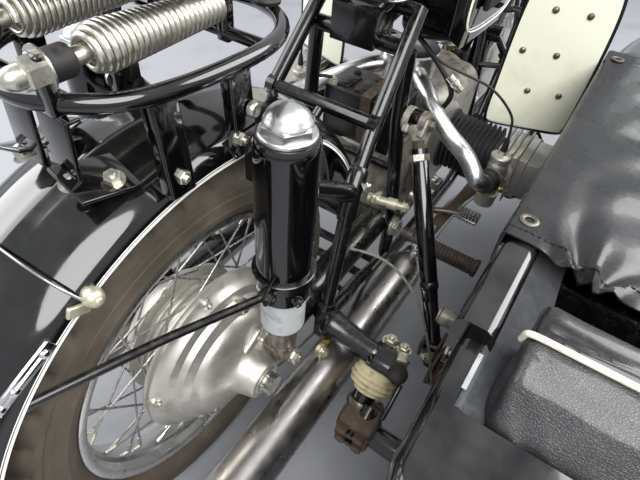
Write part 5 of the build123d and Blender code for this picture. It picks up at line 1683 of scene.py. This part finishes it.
    def leads(self) -> None:
        """Runs the throttle cables with their boots, and the breather hose with its connector."""
        black: Pieces = []
        metal: Pieces = []
        for side in (-1, 1):
            x = self.bore_x(side) - 100
            cable(self, "throttle_cable", [(x, side * self.intake_y, 492), (x, side * 270, 530),
                                           (x - 2, side * 262, 560), (x - 20, side * 214, 606),
                                           (x - 40, side * 160, 622), (x - 60, side * 96, 640),
                                           (x - 40, side * 40, 668)], 2.6, RUBBER)
            black.append(lathe("cable_boot", [(0, 6), (2, 7.4), (18, 6), (30, 3.6), (31, 0)],
                               (x, side * self.intake_y, 478), UP, 20))
        cable(self, "breather_hose", [(612, -30, 664), (606, -70, 640), (606, -110, 608), (614, -140, 570),
                                      (632, -128, 530), (650, -112, 505)], 5.4, RUBBER, "stiff")
        metal.append(lathe("connector", [(0, 7), (1, 8.6), (14, 8.6), (15, 10.4), (24, 10.4), (25, 8), (38, 7.4),
                                         (38, 0)], (607, -124, 602), (0.2, -0.72, -0.6), 24))
        metal.append(hex_bolt("connector_nut", (612, -146, 582), (0.3, -0.7, -0.6), 15, 9, washer=False))
        self.fit("control_leads", black, RUBBER)
        self.fit("lead_fittings", metal, ZINC)

    def build(self) -> None:
        """Makes the engine from its casings outwards."""
        self.casings()
        self.barrels()
        self.carburettors()
        self.exhausts()
        self.leads()


@dataclass
class TankAndSaddle(SubAssembly):
    """The tank, the rider's saddle, the battery and the leg shields."""

    def tank(self) -> None:
        """Rounds the tank, lays its double lining and sets the knee pads, cap and tap."""
        tank = self.refine("fuel_tank", BLACK, edge=16, smooth=50)
        apply_modifier(tank, "SMOOTH", factor=0.3, iterations=1)
        lines: Pieces = []
        pads: Pieces = []
        for side in (-1, 1):
            for near, radius in ((0, 1.5), (7, 0.6)):
                points = [(578 + near, side * 139, 700), (620, side * 143.6, 688 + near),
                          (700, side * 148.4, 689 + near), (760, side * 150.4, 694 + near),
                          (840, side * 142.6, 702 + near), (874, side * 139, 712 + near),
                          (884 - near, side * 138, 760), (868, side * 140, 812 - near),
                          (760, side * 150.4, 832 - near), (660, side * 146.6, 824 - near),
                          (590 + near, side * 140.4, 800 - near), (576 + near, side * 139, 760)]
                lines.append(pipe("lining", points, radius, 2, closed=True))
            pad = slab("knee_pad", (694, side * 149.6, 762), (130, 12, 78), 5)
            pads.append(pad)
        self.fit("tank_lining", lines, LINING_WHITE)
        self.fit("knee_pads", pads, RUBBER)
        cap = lathe("tank_cap", [(-6, 26), (0, 34), (4, 35), (9, 33), (11, 24), (13, 8), (13.4, 0)], (812, 0, 860),
                    UP, 40)
        self.dress(cap, CHROME_TRIM)
        taps = [lathe("tap", [(0, 10), (4, 12), (8, 7), (24, 7), (26, 10), (34, 10), (36, 5), (36, 0)],
                      (640, -100, 672), DOWN, 20), slab("tap_lever", (640, -112, 650), (8, 22, 6), 1.6)]
        self.fit("fuel_tap", taps, BRASS)

    def saddle(self) -> None:
        """Pads the rider's saddle over its coil springs."""
        outline = [(326, 0), (328, 78), (350, 116), (398, 131), (448, 124), (508, 80), (564, 40), (589, 20), (590, 0)]
        pad_saddle(self, "rider_saddle_pad", outline, 833.0, 883.0, SADDLE, "rider_saddle")
        coils: Pieces = []
        for side in (-1, 1):
            coil = wind(2.6, 19, 9.4, 7, 18, 9)
            coil.matrix_world = aim((452, side * 52, 764), UP)
            coils.append(settle(coil, "saddle_coil", 60))
        self.fit("saddle_coils", coils, SPRING)

    def battery(self) -> None:
        """Boxes the battery with its lid, cell plugs, strap and terminals."""
        case = [slab("case", (530, 0, 512), (106, 158, 102), 3), slab("lid", (530, 0, 564), (108, 160, 6), 2)]
        for y in (-52, 0, 52):
            case.append(slab("cell_slot", (516, y, 568.6), (56, 40, 3), 1))
        self.fit("battery_case", case, CASE, "battery")
        plugs = [lathe("cell_plug", [(0, 8), (4, 8), (5, 6.6), (5.4, 0)], (558, y, 567), UP, 24)
                 for y in (-52, 0, 52)]
        self.fit("cell_plugs", plugs, RUBBER)
        band = strap("battery_strap", [(474, -18, 470), (474, -18, 571), (530, -18, 573.4), (586, -18, 571),
                                       (586, -18, 470)], 22, 2.4)
        self.dress(band, STRAP)
        posts = []
        for y in (-66, 66):
            posts.append(lathe("post", [(0, 9), (8, 8), (9, 0)], (488, y, 566), UP, 24))
            posts.append(hex_bolt("post_bolt", (488, y, 574), UP, 11, 5, 3, washer=False))
        self.fit("battery_posts", posts, WHITE_METAL)
        for side in (-1, 1):
            cable(self, "battery_cable", [(488, side * 66, 577), (478, side * 84, 584), (462, side * 104, 572),
                                          (456, side * 112, 520), (466, side * 108, 470), (480, side * 80, 440),
                                          (500, side * 60, 430)], 3.6, RUBBER)

    def shields(self) -> None:
        """Dresses the leg shields with their beaded edge and dimpled bolts."""
        self.refine("leg_shields", IVORY, smooth=30)
        beads: Pieces = []
        bolts: Pieces = []
        outline = [(-86, 482), (-74, 474), (0, 474), (74, 474), (86, 482), (90, 560), (92, 690), (86, 760), (66, 812),
                   (40, 834), (0, 844), (-30, 848), (-54, 838), (-72, 800), (-84, 700), (-86, 560)]
        for side in (-1, 1):
            points = [(758 + 0.33 * far, side * (271 + 0.944 * far), z) for far, z in outline]
            beads.append(pipe("edge_bead", points, 3.6, 3, closed=True))
            for far, z in ((-56, 640), (-18, 560), (10, 640), (-24, 722), (40, 720), (46, 560)):
                spot = (758 + 0.33 * far - 1.6, side * (271 + 0.944 * far), z)
                bolts.append(round_bolt("shield_bolt", spot, (-0.944, side * 0.33, 0), 6.5, 4.4))
        self.fit("shield_beads", beads, BLACK)
        self.fit("shield_bolts", bolts, DULL)

    def build(self) -> None:
        """Makes the tank, saddle, battery and shields."""
        self.tank()
        self.saddle()
        self.battery()
        self.shields()


@dataclass
class FrontEnd(SubAssembly):
    """The steered pieces: fork, links, lamp, bars and front mudguard."""

    body: str = "steering"

    def lamp(self) -> None:
        """Turns the headlamp's shell, rim and domed lens."""
        shell = lathe("lamp_shell", [(0, 8), (3, 30), (12, 52), (30, 70), (60, 82), (100, 87), (140, 88), (144, 90),
                                     (150, 90), (156, 87), (157, 80), (150, 78)], (1172, 0, 812), AHEAD, 64,
                      smooth=40)
        self.dress(shell, BLACK, "headlamp")
        rim = lathe("lamp_rim", [(143, 86), (143, 90), (150, 90), (156, 87.6), (158, 82), (157, 78), (150, 78)],
                    (1172, 0, 812), AHEAD, 64, looped=True)
        self.dress(rim, CHROME_TRIM)
        lens = lathe("lamp_lens", [(148, 79), (152, 74), (155, 56), (156.4, 30), (157, 0)], (1172, 0, 812),
                     AHEAD, 64, smooth=60)
        self.dress(lens, LENS)
        ears = [slab("lamp_ear", (1212, side * 88, 812), (46, 10, 30), 3) for side in (-1, 1)]
        ears += [hex_bolt("ear_bolt", (1226, side * 93, 812), (0, side, 0), 17, 7) for side in (-1, 1)]
        self.fit("lamp_ears", ears, FRAME_BLACK)

    def bars(self) -> None:
        """Dresses the bar and fits the two clamps that hold it."""
        self.refine("handlebar", CHROME_TRIM)
        clamp = [slab("bar_clamp", (1036, side * 52, 934), (34, 26, 40), 5) for side in (-1, 1)]
        clamp += [hex_bolt("clamp_screw", (1036, side * 52, 954), UP, 11, 6, washer=False) for side in (-1, 1)]
        self.fit("bar_clamps", clamp, POLISHED)

    def build(self) -> None:
        """Dresses the CAD nodes that steer and adds the headlamp and the bar's clamps."""
        for node, finish in (("fork", BLACK), ("front_links", FRAME_BLACK), ("front_axle", STEEL),
                             ("front_shocks", BLACK), ("front_mudguard", BLACK)):
            self.refine(node, finish)
        self.lamp()
        self.bars()


@dataclass
class Stand(SubAssembly):
    """The folding centre stand."""

    body: str = "centre_stand"

    def build(self) -> None:
        """Dresses the stand."""
        self.refine("centre_stand", FRAME_BLACK)


@dataclass
class Chassis(SubAssembly):
    """The sidecar's tube frame, its wheel arm, and the struts and ball joints that tie it to the motorcycle."""

    strut_head: Point = (455.0, -134.0, 574.0)
    strut_foot: Point = (284.0, -328.0, 252.0)
    joint_top: Point = (150.0, -277.0, 284.0)
    joint_foot: Point = (88.0, -275.0, 217.0)

    def strut(self) -> None:
        """Cuts the adjuster thread, nuts, clevis and fork end of the rear strut."""
        head, foot = Vector(self.strut_head), Vector(self.strut_foot)
        way = (foot - head).normalized()
        clevis = [lathe("clevis", [(8, 21.4), (16, 20), (24, 16.4), (30, 14), (34, 14), (36, 12.6), (36, 0)],
                        head, way, 36, smooth=50)]
        for near in (-22, 8):
            clevis.append(lathe("cheek", [(0, 20), (1.6, 22.6), (12.4, 22.6), (14, 20), (14, 0)],
                                head + Vector((0, near, 0)), LEFT, 40))
            clevis.append(slab("cheek_web", head + Vector((0, near + 7, 0)) + way * 10, (38, 13, 34), 4, (0, 30, 0)))
        self.fit("strut_clevis", clevis, OILY_CAST)
        thread: Profile = [(26, 10.4)]
        for number in range(20):
            near = 28 + number * 2.2
            thread += [(near, 10.4), (near + 1.1, 11.8)]
        thread += [(73, 10.4), (74, 0)]
        steel = [lathe("strut_thread", thread, head, way, 28, smooth=20),
                 hex_bolt("eye_bolt", head + Vector((0, -23.6, 0)), RIGHT, 19, 9, 3)]
        self.fit("strut_steel", steel, DULL)
        nuts = [hex_bolt("lock_nut", head + way * 60, way, 32, 13, washer=False),
                hex_bolt("fork_nut", (240, -331, 255), (0.2, -0.7, 0.6), 20, 11, 5),
                hex_bolt("fork_nut", (286, -351, 240), (0, -1, 0.1), 21, 11, 5)]
        self.fit("strut_nuts", nuts, ZINC)
        tube = [lathe("strut_tube", [(71, 12), (71, 15.4), (74, 16.8), (300, 16.8), (304, 15.4), (330, 15.2),
                                     (338, 13), (338, 0)], head, way, 40, smooth=50)]
        self.fit("strut_tube", tube, BLACK)
        band = lathe("strut_band", [(296, 16.9), (297, 17.6), (309, 17.6), (310, 16.9)], head, way, 40)
        self.dress(band, FRAME_BLACK)
        fork = [slab("fork_cheek", (284, -328 + side * 15, 243), (44, 6, 52), 2.6) for side in (-1, 1)]
        fork += [slab("rail_bracket", (252, -350, 236), (72, 8, 44), 2.6, (0, 6, 0)),
                 slab("rail_bracket", (236, -368, 222), (40, 44, 8), 2.6)]
        self.fit("strut_fork", fork, RUSTY)

    def joint(self) -> None:
        """Builds the rear ball joint: forged arm, clamp head, gaiter, stub, ring and the split clamp block."""
        top, foot = Vector(self.joint_top), Vector(self.joint_foot)
        way = (foot - top).normalized()
        middle = top + way * 16
        arm = [lathe("arm", [(-4, 24), (0, 27), (12, 27.6), (18, 25.4), (60, 22.6), (96, 20.4), (112, 19.4),
                             (112, 0)], (165, -160.2, 308), (-0.06, -1, -0.05), 40, smooth=60),
               slab("clamp_head", (159, -284, 301), (54, 62, 44), 13, (4, 0, 3)),
               slab("clamp_ear", (186, -288, 306), (22, 44, 30), 6, (4, 0, 3)),
               lathe("ball_cup", [(-30, 14), (-27, 22), (-18, 28), (-4, 30), (2, 27), (4, 23), (4, 0)], top, way, 40,
                     smooth=60),
               slab("hanging_bar", (120, -322, 262), (66, 8, 20), 2.6, (0, -34, 0))]
        self.fit("joint_arm", arm, FRAME_BLACK)
        shine = [hex_bolt("clamp_nut", (186, -274, 321.4), (0.1, -0.05, 1), 19, 10, 5),
                 hex_bolt("clamp_nut", (186, -300, 320.4), (0.1, -0.05, 1), 17, 9, 4),
                 round_bolt("set_screw", (150, -262, 323), UP, 5, 4),
                 slab("square_nut", (165, -306, 326), (20, 18, 12), 2, (6, 4, 18))]
        self.fit("joint_nuts", shine, WHITE_METAL)
        cap = lathe("joint_cap", [(0, 15), (4, 16.6), (12, 16), (16, 11), (17, 0)], (138, -312, 315),
                    (-0.2, -0.2, 1), 32)
        self.dress(cap, RUBBER)
        ribs: Profile = [(-20, 24), (-19, 28)]
        for number, size in enumerate((36.0, 40.4, 41.6, 38.0)):
            near = -18 + number * 9.4
            ribs += [(near, size - 5), (near + 2.2, size - 1), (near + 4.6, size), (near + 7.0, size - 1.2)]
        ribs += [(20, 28), (24, 25), (28, 25.6), (29, 22), (29, 0)]
        self.dress(lathe("joint_gaiter", ribs, middle, way, 56, smooth=70), GAITER)
        stub = lathe("joint_stub", [(20, 17), (20, 20.4), (98, 20.4), (100, 18.6), (100, 0)], top, way, 40)
        self.dress(stub, FRAME_BLACK)
        ring = lathe("joint_ring", [(62, 20), (62, 24), (64, 25), (74, 25), (76, 24), (76, 20)], top, way, 40)
        self.dress(ring, DULL)
        block = [slab("clamp_half", (78, -290, 233.6), (58, 62, 26), 5),
                 slab("clamp_half", (78, -290, 205.4), (58, 62, 26), 5),
                 lathe("clamp_barrel", [(-34, 18), (-32, 22), (32, 22), (34, 18), (34, 0)], (78, -290, 219.4),
                       LEFT, 36),
                 lathe("under_stub", [(0, 17), (22, 16), (26, 13), (27, 0)], (76, -290, 194), (-0.1, 0, -1), 32)]
        self.fit("joint_block", block, RUSTY)
        heads: Pieces = []
        for y, z in ((-274, 236), (-306, 236), (-274, 204), (-306, 204)):
            heads.append(hex_bolt("block_bolt", (48.6, y, z), BACK, 19, 10))
            heads.append(hex_bolt("block_nut", (107.4, y, z), AHEAD, 19, 9, 6))
        heads.append(hex_bolt("tube_bolt", (70, -392, 229), UP, 19, 9, 5))
        heads.append(hex_bolt("tube_bolt", (84, -448, 229.5), UP, 17, 9, 5))
        self.fit("block_bolts", heads, RUSTY)
        tube = lathe("joint_tube", [(30, 16), (30, 19.4), (34, 20.4), (140, 20.4), (144, 19), (144, 16)],
                     (75, -290, 216), (0, -1, -0.045), 36)
        self.dress(tube, FRAME_BLACK)
        lever = strap("brake_lever_arm", [(129, -168, 276), (140, -176, 290), (163, -178, 284), (186, -180, 296)],
                      14, 5, (0.2, -1, 0.3))
        self.dress(lever, BRASS)
        ends = [hex_bolt("lever_nut", (126, -176, 274), (-0.1, -1, 0.2), 17, 9, 4),
                hex_bolt("lever_nut", (110, -180, 305), (-0.3, -1, 0.3), 14, 8, 3)]
        self.fit("lever_nuts", ends, WHITE_METAL)

    def cut_cone(self, skin: bpy.types.Object) -> None:
        """Takes the plain rear cone off the open copy, where the gaiter and its stub come."""
        low, high = at(92, -325, 225), at(150, -266, 292)
        pick_faces(skin, lambda centre, _normal: all(low[i] < centre[i] < high[i] for i in range(3)))
        bpy.ops.mesh.delete(type="FACE")

    def build(self) -> None:
        """Dresses the chassis nodes and adds the joint and strut."""
        for node, finish, edge in (("sidecar_chassis", FRAME_BLACK, 0.0), ("side_arm", FRAME_BLACK, 0.0),
                                   ("upper_struts", BLACK, 0.0), ("lower_joints", FRAME_BLACK, 0.0),
                                   ("side_mudguard", BLACK, 0.0), ("sidecar_lamp", BLACK, 1.0)):
            skin = self.refine(node, finish, edge=edge)
            if node == "lower_joints":
                with editing(skin):
                    self.cut_cone(skin)
        self.strut()
        self.joint()
        cable(self, "sidecar_cable", [(176, -380, 236), (196, -352, 300), (214, -322, 352), (228, -290, 400),
                                      (236, -240, 438), (236, -190, 446), (226, -150, 440)], 2.4, GREY_WIRE)


@dataclass
class SidecarBody(SubAssembly):
    """The sidecar's shell with its lined opening, seat, stretched cover and screen."""

    mid: float = -668.0
    pinch: tuple[float, float] = (178.0, -472.0)
    crown_x: float = 36.0
    cover_from: float = 200.0
    cover_to: float = 820.0
    cover_level: float = 625.4
    slope_from: float = 560.0
    slope: float = 32.0 / 260.0
    cover_half: float = 300.0
    fold_radius: float = 5.4

    def seat(self) -> None:
        """Pads the cushion and the backrest, and sews the pale piping along the backrest's crown."""
        self.refine("seat_base", WOOD, edge=2)
        cushion = slab("seat_pad", (262, self.mid, 364), (392, 484, 62), 22)
        with editing(cushion):
            bpy.ops.mesh.select_all(action="SELECT")
            bpy.ops.mesh.subdivide(number_cuts=5)
        for vertex in cushion.data.vertices:
            spot = vertex.co - at(262, self.mid, 364)
            vertex.co.z += 8 * MM * max(0, 1 - (spot.x / 0.2) ** 2) * max(0, 1 - (spot.y / 0.25) ** 2)
        apply_modifier(cushion, "REMESH", mode="VOXEL", voxel_size=6 * MM)
        inflate(cushion, 5.0, lambda point: point.z < 0.345)
        self.dress(settle(cushion, "seat_pad", 60), SEAT_SMOOTH, "seat_cushion")
        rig.padded(cushion, fill=0.7)
        self.backrest()

    def backrest(self) -> None:
        """Draws the backrest out along its width, rounds it and splits its leathers along the crown."""
        profile = [(54, 334), (66, 440), (86, 560), (97, 616), (95, 650), (82, 668), (60, 670), (44, 660), (36, 653),
                   (24, 655), (-2, 643), (-33, 604), (-35, 585), (-58, 562), (-61, 334)]
        clear_selection()
        bpy.ops.mesh.primitive_circle_add(vertices=len(profile), radius=1, fill_type="NGON")
        rest = bpy.context.object
        for vertex, (x, z) in zip(rest.data.vertices, profile):
            vertex.co = at(x, -432, z)
        with editing(rest):
            bpy.ops.mesh.select_all(action="SELECT")
            bpy.ops.mesh.extrude_region_move(TRANSFORM_OT_translate={"value": (0, -472 * MM, 0)})
        settle(rest, "backrest_pad", 40)
        with editing(rest):
            bpy.ops.mesh.select_all(action="SELECT")
            bpy.ops.mesh.fill_holes(sides=0)
            bpy.ops.mesh.normals_make_consistent(inside=False)
        apply_modifier(rest, "BEVEL", width=10 * MM, segments=3, limit_method="ANGLE", angle_limit=math.radians(50))
        apply_modifier(rest, "REMESH", mode="VOXEL", voxel_size=6 * MM)
        apply_modifier(rest, "SMOOTH", factor=0.5, iterations=4)
        crown = at(self.crown_x, 0, 0).x
        inflate(rest, 5.0, lambda point: point.z < 0.35 or (abs(point.x - crown) < 0.006 and point.z > 0.635))
        for vertex in rest.data.vertices:
            spot = vertex.co
            if spot.z > 0.36:
                far = (spot.y - at(0, self.mid, 0).y) / MM
                fold = math.sin(far / 21 + spot.z * 34) * math.sin(far / 47 + 1.3 + spot.x * 40)
                vertex.co.x += (1.7 if spot.x < at(30, 0, 0).x else 0.5) * MM * fold
        settle(rest, "backrest_pad", 60)
        # The back takes the lighter grey leather, whose colour is partly painted reflection of the sky; the front
        # keeps the black one.
        self.dress(rest, SEAT, "seat_backrest")
        rest.data.materials.append(SEAT_SMOOTH.material())
        front = at(self.crown_x - 1, 0, 0).x
        for face in rest.data.polygons:
            face.material_index = int(face.center.x > front)
        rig.padded(rest, fill=0.7)
        line = [(44, -429.6, 640), (41, -429.8, 652), (38, -431, 658), (37, -440, 661), (36, -470, 662),
                (36, -560, 662.6), (36, -668, 663), (36, -776, 662.6), (36, -866, 662), (37, -896, 661),
                (38, -905, 658), (42, -905.4, 652), (46, -904.4, 636)]
        self.dress(pipe("backrest_piping", line, 3.4, 3), PIPING)

    def rise(self, x: float) -> float:
        """Gives the level of the cover's top over the coaming."""
        return self.cover_level + max(0.0, x - self.slope_from) * self.slope

    def drop(self, x: float) -> float:
        """Gives how far the cover's side flap hangs at a place along it."""
        near = min(max((x - self.cover_from) / 32.0, 0.0), 1.0)
        ahead = min(max((600.0 - x) / 60.0, 0.0), 1.0)
        smooth = ahead * ahead * (3 - 2 * ahead)
        return 66.0 * math.sqrt(max(0.0, 1 - (1 - near) ** 2)) * smooth + 3.0

    def cover_at(self, far: float, share: float) -> Point:
        """Gives a place on the cover, from its share across and along.

        Args:
            far: 0 at the motorcycle's side, 1 at the outer side.
            share: 0 at the rear edge, 1 at the front.

        Returns:
            The place in vehicle millimetres.
        """
        x = self.cover_from + (self.cover_to - self.cover_from) * share
        level = self.rise(x)
        drop = self.drop(x)
        side = -1.0 if far > 0.5 else 1.0
        edge = min(far, 1 - far)
        if edge < 0.12:
            fall = drop * (1 - edge / 0.12) + self.fold_radius
            wave = 1.2 * math.sin(x / 38) * min(1.0, fall / 60)
            reach = self.cover_half + self.fold_radius + 0.8 * wave
            return Vector((x, self.mid + side * reach, level - fall))
        if edge < 0.16:
            turn = (edge - 0.12) / 0.04 * math.pi / 2
            reach = self.cover_half + self.fold_radius * math.cos(turn)
            return Vector((x, self.mid + side * reach, level - self.fold_radius * (1 - math.sin(turn))))
        y = self.mid + side * self.cover_half * (0.5 - edge) / 0.34
        px, py = self.pinch
        away = math.hypot(x - px, y - py)
        angle = math.atan2(y - py, x - px)
        inner = min(max((1 - abs(y - self.mid) / 258), 0.0), 1.0)
        fold = 10.0 * math.cos(8 * angle + 0.004 * away) * math.exp(-away / 130) * min(1.0, away / 26)
        fold += 3.4 * math.sin(0.052 * (x - px) + 0.031 * (y - py)) * math.sin(0.017 * (y - py) - 0.6)
        fold *= min(1.0, inner * 9)
        sag = 24.0 * math.sin(math.pi / 2 * min(1.0, inner * 1.15)) ** 2
        slack = 0.0
        if y < py:
            along = min(1.0, (py - y) / 430.0)
            slack = 20.0 * math.sin(math.pi * along) * math.exp(-(x - self.cover_from) / 110)
        pull = (self.cover_from - px) * math.exp(-((y - py) / 42) ** 2) * math.exp(-(x - self.cover_from) / 60)
        return Vector((x - pull, y, level - sag * (0.4 + 0.6 * min(1.0, away / 120)) - slack + fold))

    def cover(self) -> None:
        """Stretches the leathercloth cover over the coaming, with its flaps, hem, stitches and eyelets."""
        piece = grid_sheet("tonneau_cover", 150, 110, self.cover_at, 1.4)
        self.dress(piece, COVER, "tonneau")
        steps = 200
        width = (self.cover_to - self.cover_from) / steps
        area = 0.0
        for number in range(steps):
            x = self.cover_from + width * (number + 0.5)
            stretch = math.hypot(1, self.slope if x > self.slope_from else 0)
            girth = 2 * (self.cover_half + self.fold_radius * math.pi / 2 + self.drop(x))
            area += girth * width * stretch

        def border(far: float, share: float) -> Point:
            """Gives a place on the hem, just above the cover's rear edge."""
            return self.cover_at(far, share * 0.034) + Vector((0, 0, 1.5))

        hem = grid_sheet("cover_hem", 140, 2, border, 1.0)
        self.dress(hem, COVER)
        stitches = [self.stitch(0.004 + number * 0.0092, 0.03) for number in range(108)]
        thread = self.fit("cover_stitches", stitches, THREAD)
        eyelets: Pieces = []
        for side in (-1, 1):
            for x in (242, 790):
                start = (x, self.mid + side * 284, self.rise(x) + 0.6)
                eyelets.append(lathe("eyelet", [(0, 6), (0, 12.4), (1.4, 12.4), (2.4, 10), (2.4, 7.4), (1.2, 6)],
                                     start, UP, 32, looped=True, smooth=60))
        ring = self.fit("cover_eyelets", eyelets, DULL)
        extras = [hem, thread, ring]
        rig.sheet(piece, flat=(0.76, 0.622), held="stretched", rests_on=["sidecar_coaming"], area=area * MM * MM,
                 with_pieces=extras)

    def stitch(self, far: float, share: float) -> bpy.types.Object:
        """Sews one stitch on the cover's hem."""
        start = Vector(self.cover_at(far, share)) + Vector((0, 0, 2.4))
        end = Vector(self.cover_at(far + 0.0062, share)) + Vector((0, 0, 2.4))
        middle = (start + end) / 2 + Vector((0, 0, 0.5))
        return pipe("stitch", [start, middle, end], 0.8, 1)

    def lining(self) -> None:
        """Lines the opening's edge with felt and lays the bright strip beside the seat."""
        def where(far: float, share: float) -> Point:
            """Gives a place on the felt, from its share along and down."""
            x = -34 + 560 * far
            wave = 2.4 * math.sin(x / 33) * share
            if share < 0.3:
                return Vector((x, -405 - 6 * share / 0.3, 601 - 9 * share / 0.3))
            down = (share - 0.3) / 0.7
            return Vector((x, -411 - 42 * down + wave, 592 - 26 * down ** 1.4 + 0.6 * wave))

        felt = grid_sheet("felt_lining", 90, 14, where, 2.6)
        self.dress(felt, FELT)
        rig.sheet(felt, flat=(0.56, 0.063), held="stretched", rests_on=["sidecar_body"])
        self.dress(strap("edge_strip", [(-14, -404.6, 602.4), (10, -404.8, 602.4), (34, -405, 602.4)], 5, 1.2),
                   POLISHED)
        bolt = lathe("stay_stud", [(0, 9), (2, 11.4), (20, 11.4), (22, 9.4), (24, 9.4), (24, 0)], (100, -366, 549),
                     LEFT, 28)
        self.dress(bolt, DULL)

    def build(self) -> None:
        """Dresses the body and fits it out."""
        self.refine("sidecar_body", BLACK)
        self.refine("sidecar_coaming", BLACK)
        self.refine("windscreen", SCREEN, edge=1)
        self.refine("screen_clasps", CHROME_TRIM, edge=2)
        self.seat()
        self.cover()
        self.lining()


@dataclass
class Viewpoint:
    """The camera at the photograph's viewing angle, in vehicle millimetres and degrees."""

    place: Point = (-297.0, -394.0, 1018.0)
    yaw: float = 30.1
    pitch: float = -44.5
    roll: float = 5.7
    focal_px: float = 481.7
    width_px: float = 640.0

    def build(self) -> None:
        """Adds the camera and makes it the scene's own."""
        yaw, pitch, roll = (math.radians(part) for part in (self.yaw, self.pitch, self.roll))
        ahead = Vector((math.cos(pitch) * math.cos(yaw), math.cos(pitch) * math.sin(yaw), math.sin(pitch)))
        level = ahead.cross(Vector(UP)).normalized()
        above = level.cross(ahead)
        right = level * math.cos(roll) + above * math.sin(roll)
        up = above * math.cos(roll) - level * math.sin(roll)
        data = bpy.data.cameras.new("viewpoint")
        data.lens = self.focal_px / self.width_px * data.sensor_width
        data.clip_start = 0.01
        camera = bpy.data.objects.new("viewpoint", data)
        bpy.context.scene.collection.objects.link(camera)
        turn = Matrix((right, up, -ahead)).transposed().to_4x4()
        camera.matrix_world = Matrix.Translation(at(*self.place)) @ turn
        bpy.context.scene.camera = camera


@dataclass
class Stage:
    """The plain pale floor, the soft lamps and the world."""

    floor_colour: str = "9b9ca0"
    half: float = 9.0

    def floor(self) -> None:
        """Lays the floor: smooth painted screed with faint blotches."""
        clear_selection()
        bpy.ops.mesh.primitive_plane_add(size=self.half * 2, location=(0, 0, 0))
        piece = bpy.context.object
        piece.name = "floor"
        paint = Finish("painted_screed", "none", self.floor_colour, "8f9196", 0.55, patch_mm=320, grain_mm=6,
                       depth_mm=0.05)
        piece.data.materials.append(paint.material())
        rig.stage(piece)

    def lamps(self) -> None:
        """Hangs three wide lamps and sets the world's even light."""
        for name, place, size, power, aimed in (
            ("window", (1.6, -1.7, 2.7), 2.6, 125.0, (0, 0, 0.4)),
            ("sky", (-2.0, -1.2, 3.0), 2.8, 160.0, (-0.4, 0.2, 0.5)),
            ("fill", (-1.2, 2.8, 2.2), 2.8, 90.0, (0, 0, 0.5)),
        ):
            data = bpy.data.lights.new(name, "AREA")
            data.shape = "DISK"
            data.size = size
            data.energy = power
            lamp = bpy.data.objects.new(name, data)
            bpy.context.scene.collection.objects.link(lamp)
            turn = (Vector(aimed) - Vector(place)).to_track_quat("-Z", "Y")
            lamp.matrix_world = Matrix.Translation(Vector(place)) @ turn.to_matrix().to_4x4()

    def world(self) -> None:
        """Gives the world a pale, even grey."""
        world = bpy.data.worlds.new("room")
        bpy.context.scene.world = world
        world.use_nodes = True
        tree = world.node_tree
        room = tree.nodes["Background"]
        room.inputs["Color"].default_value = linear("d9dde2")
        room.inputs["Strength"].default_value = 1.0
        seen = add_node(tree, "ShaderNodeBackground", {"Color": linear("eceef0"), "Strength": 1.0})
        rays = add_node(tree, "ShaderNodeLightPath")
        mix = add_node(tree, "ShaderNodeMixShader", links={0: rays.outputs["Is Camera Ray"], 1: room.outputs[0],
                                                           2: seen.outputs[0]})
        tree.links.new(mix.outputs[0], tree.nodes["World Output"].inputs["Surface"])

    def build(self) -> None:
        """Sets the stage and the plain view transform."""
        self.floor()
        self.lamps()
        self.world()
        bpy.context.scene.view_settings.view_transform = "Standard"


def main() -> None:
    """Loads the frame, builds each sub-assembly in order and logs it."""
    logging.basicConfig(level=logging.INFO, format="%(message)s")
    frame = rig.load()
    cad_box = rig.bounds()
    Viewpoint().build()
    Stage().build()
    groups: list[SubAssembly] = [
        Wheel(frame, "rear_wheel", name="rear"),
        Wheel(frame, "front_wheel", name="front", centre=(1415, 0, AXLE_Z)),
        Wheel(frame, "side_wheel", name="side", centre=(140, -1120, AXLE_Z)),
        FinalDrive(frame),
        RearShocks(frame),
        RearGuard(frame),
        PillionRack(frame),
        BikeFrame(frame),
        TailLamp(frame),
        Engine(frame),
        TankAndSaddle(frame),
        FrontEnd(frame),
        Stand(frame),
        Chassis(frame),
        SidecarBody(frame),
    ]
    for group in groups:
        group.build()
        group.report()
    clear_selection()
    sizes = {"cad": [list(corner) for corner in cad_box], "visual": [list(corner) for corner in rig.bounds()]}
    with open("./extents.json", "w", encoding="utf-8") as out:
        json.dump(sizes, out, indent=1)


if __name__ == "__main__":
    main()
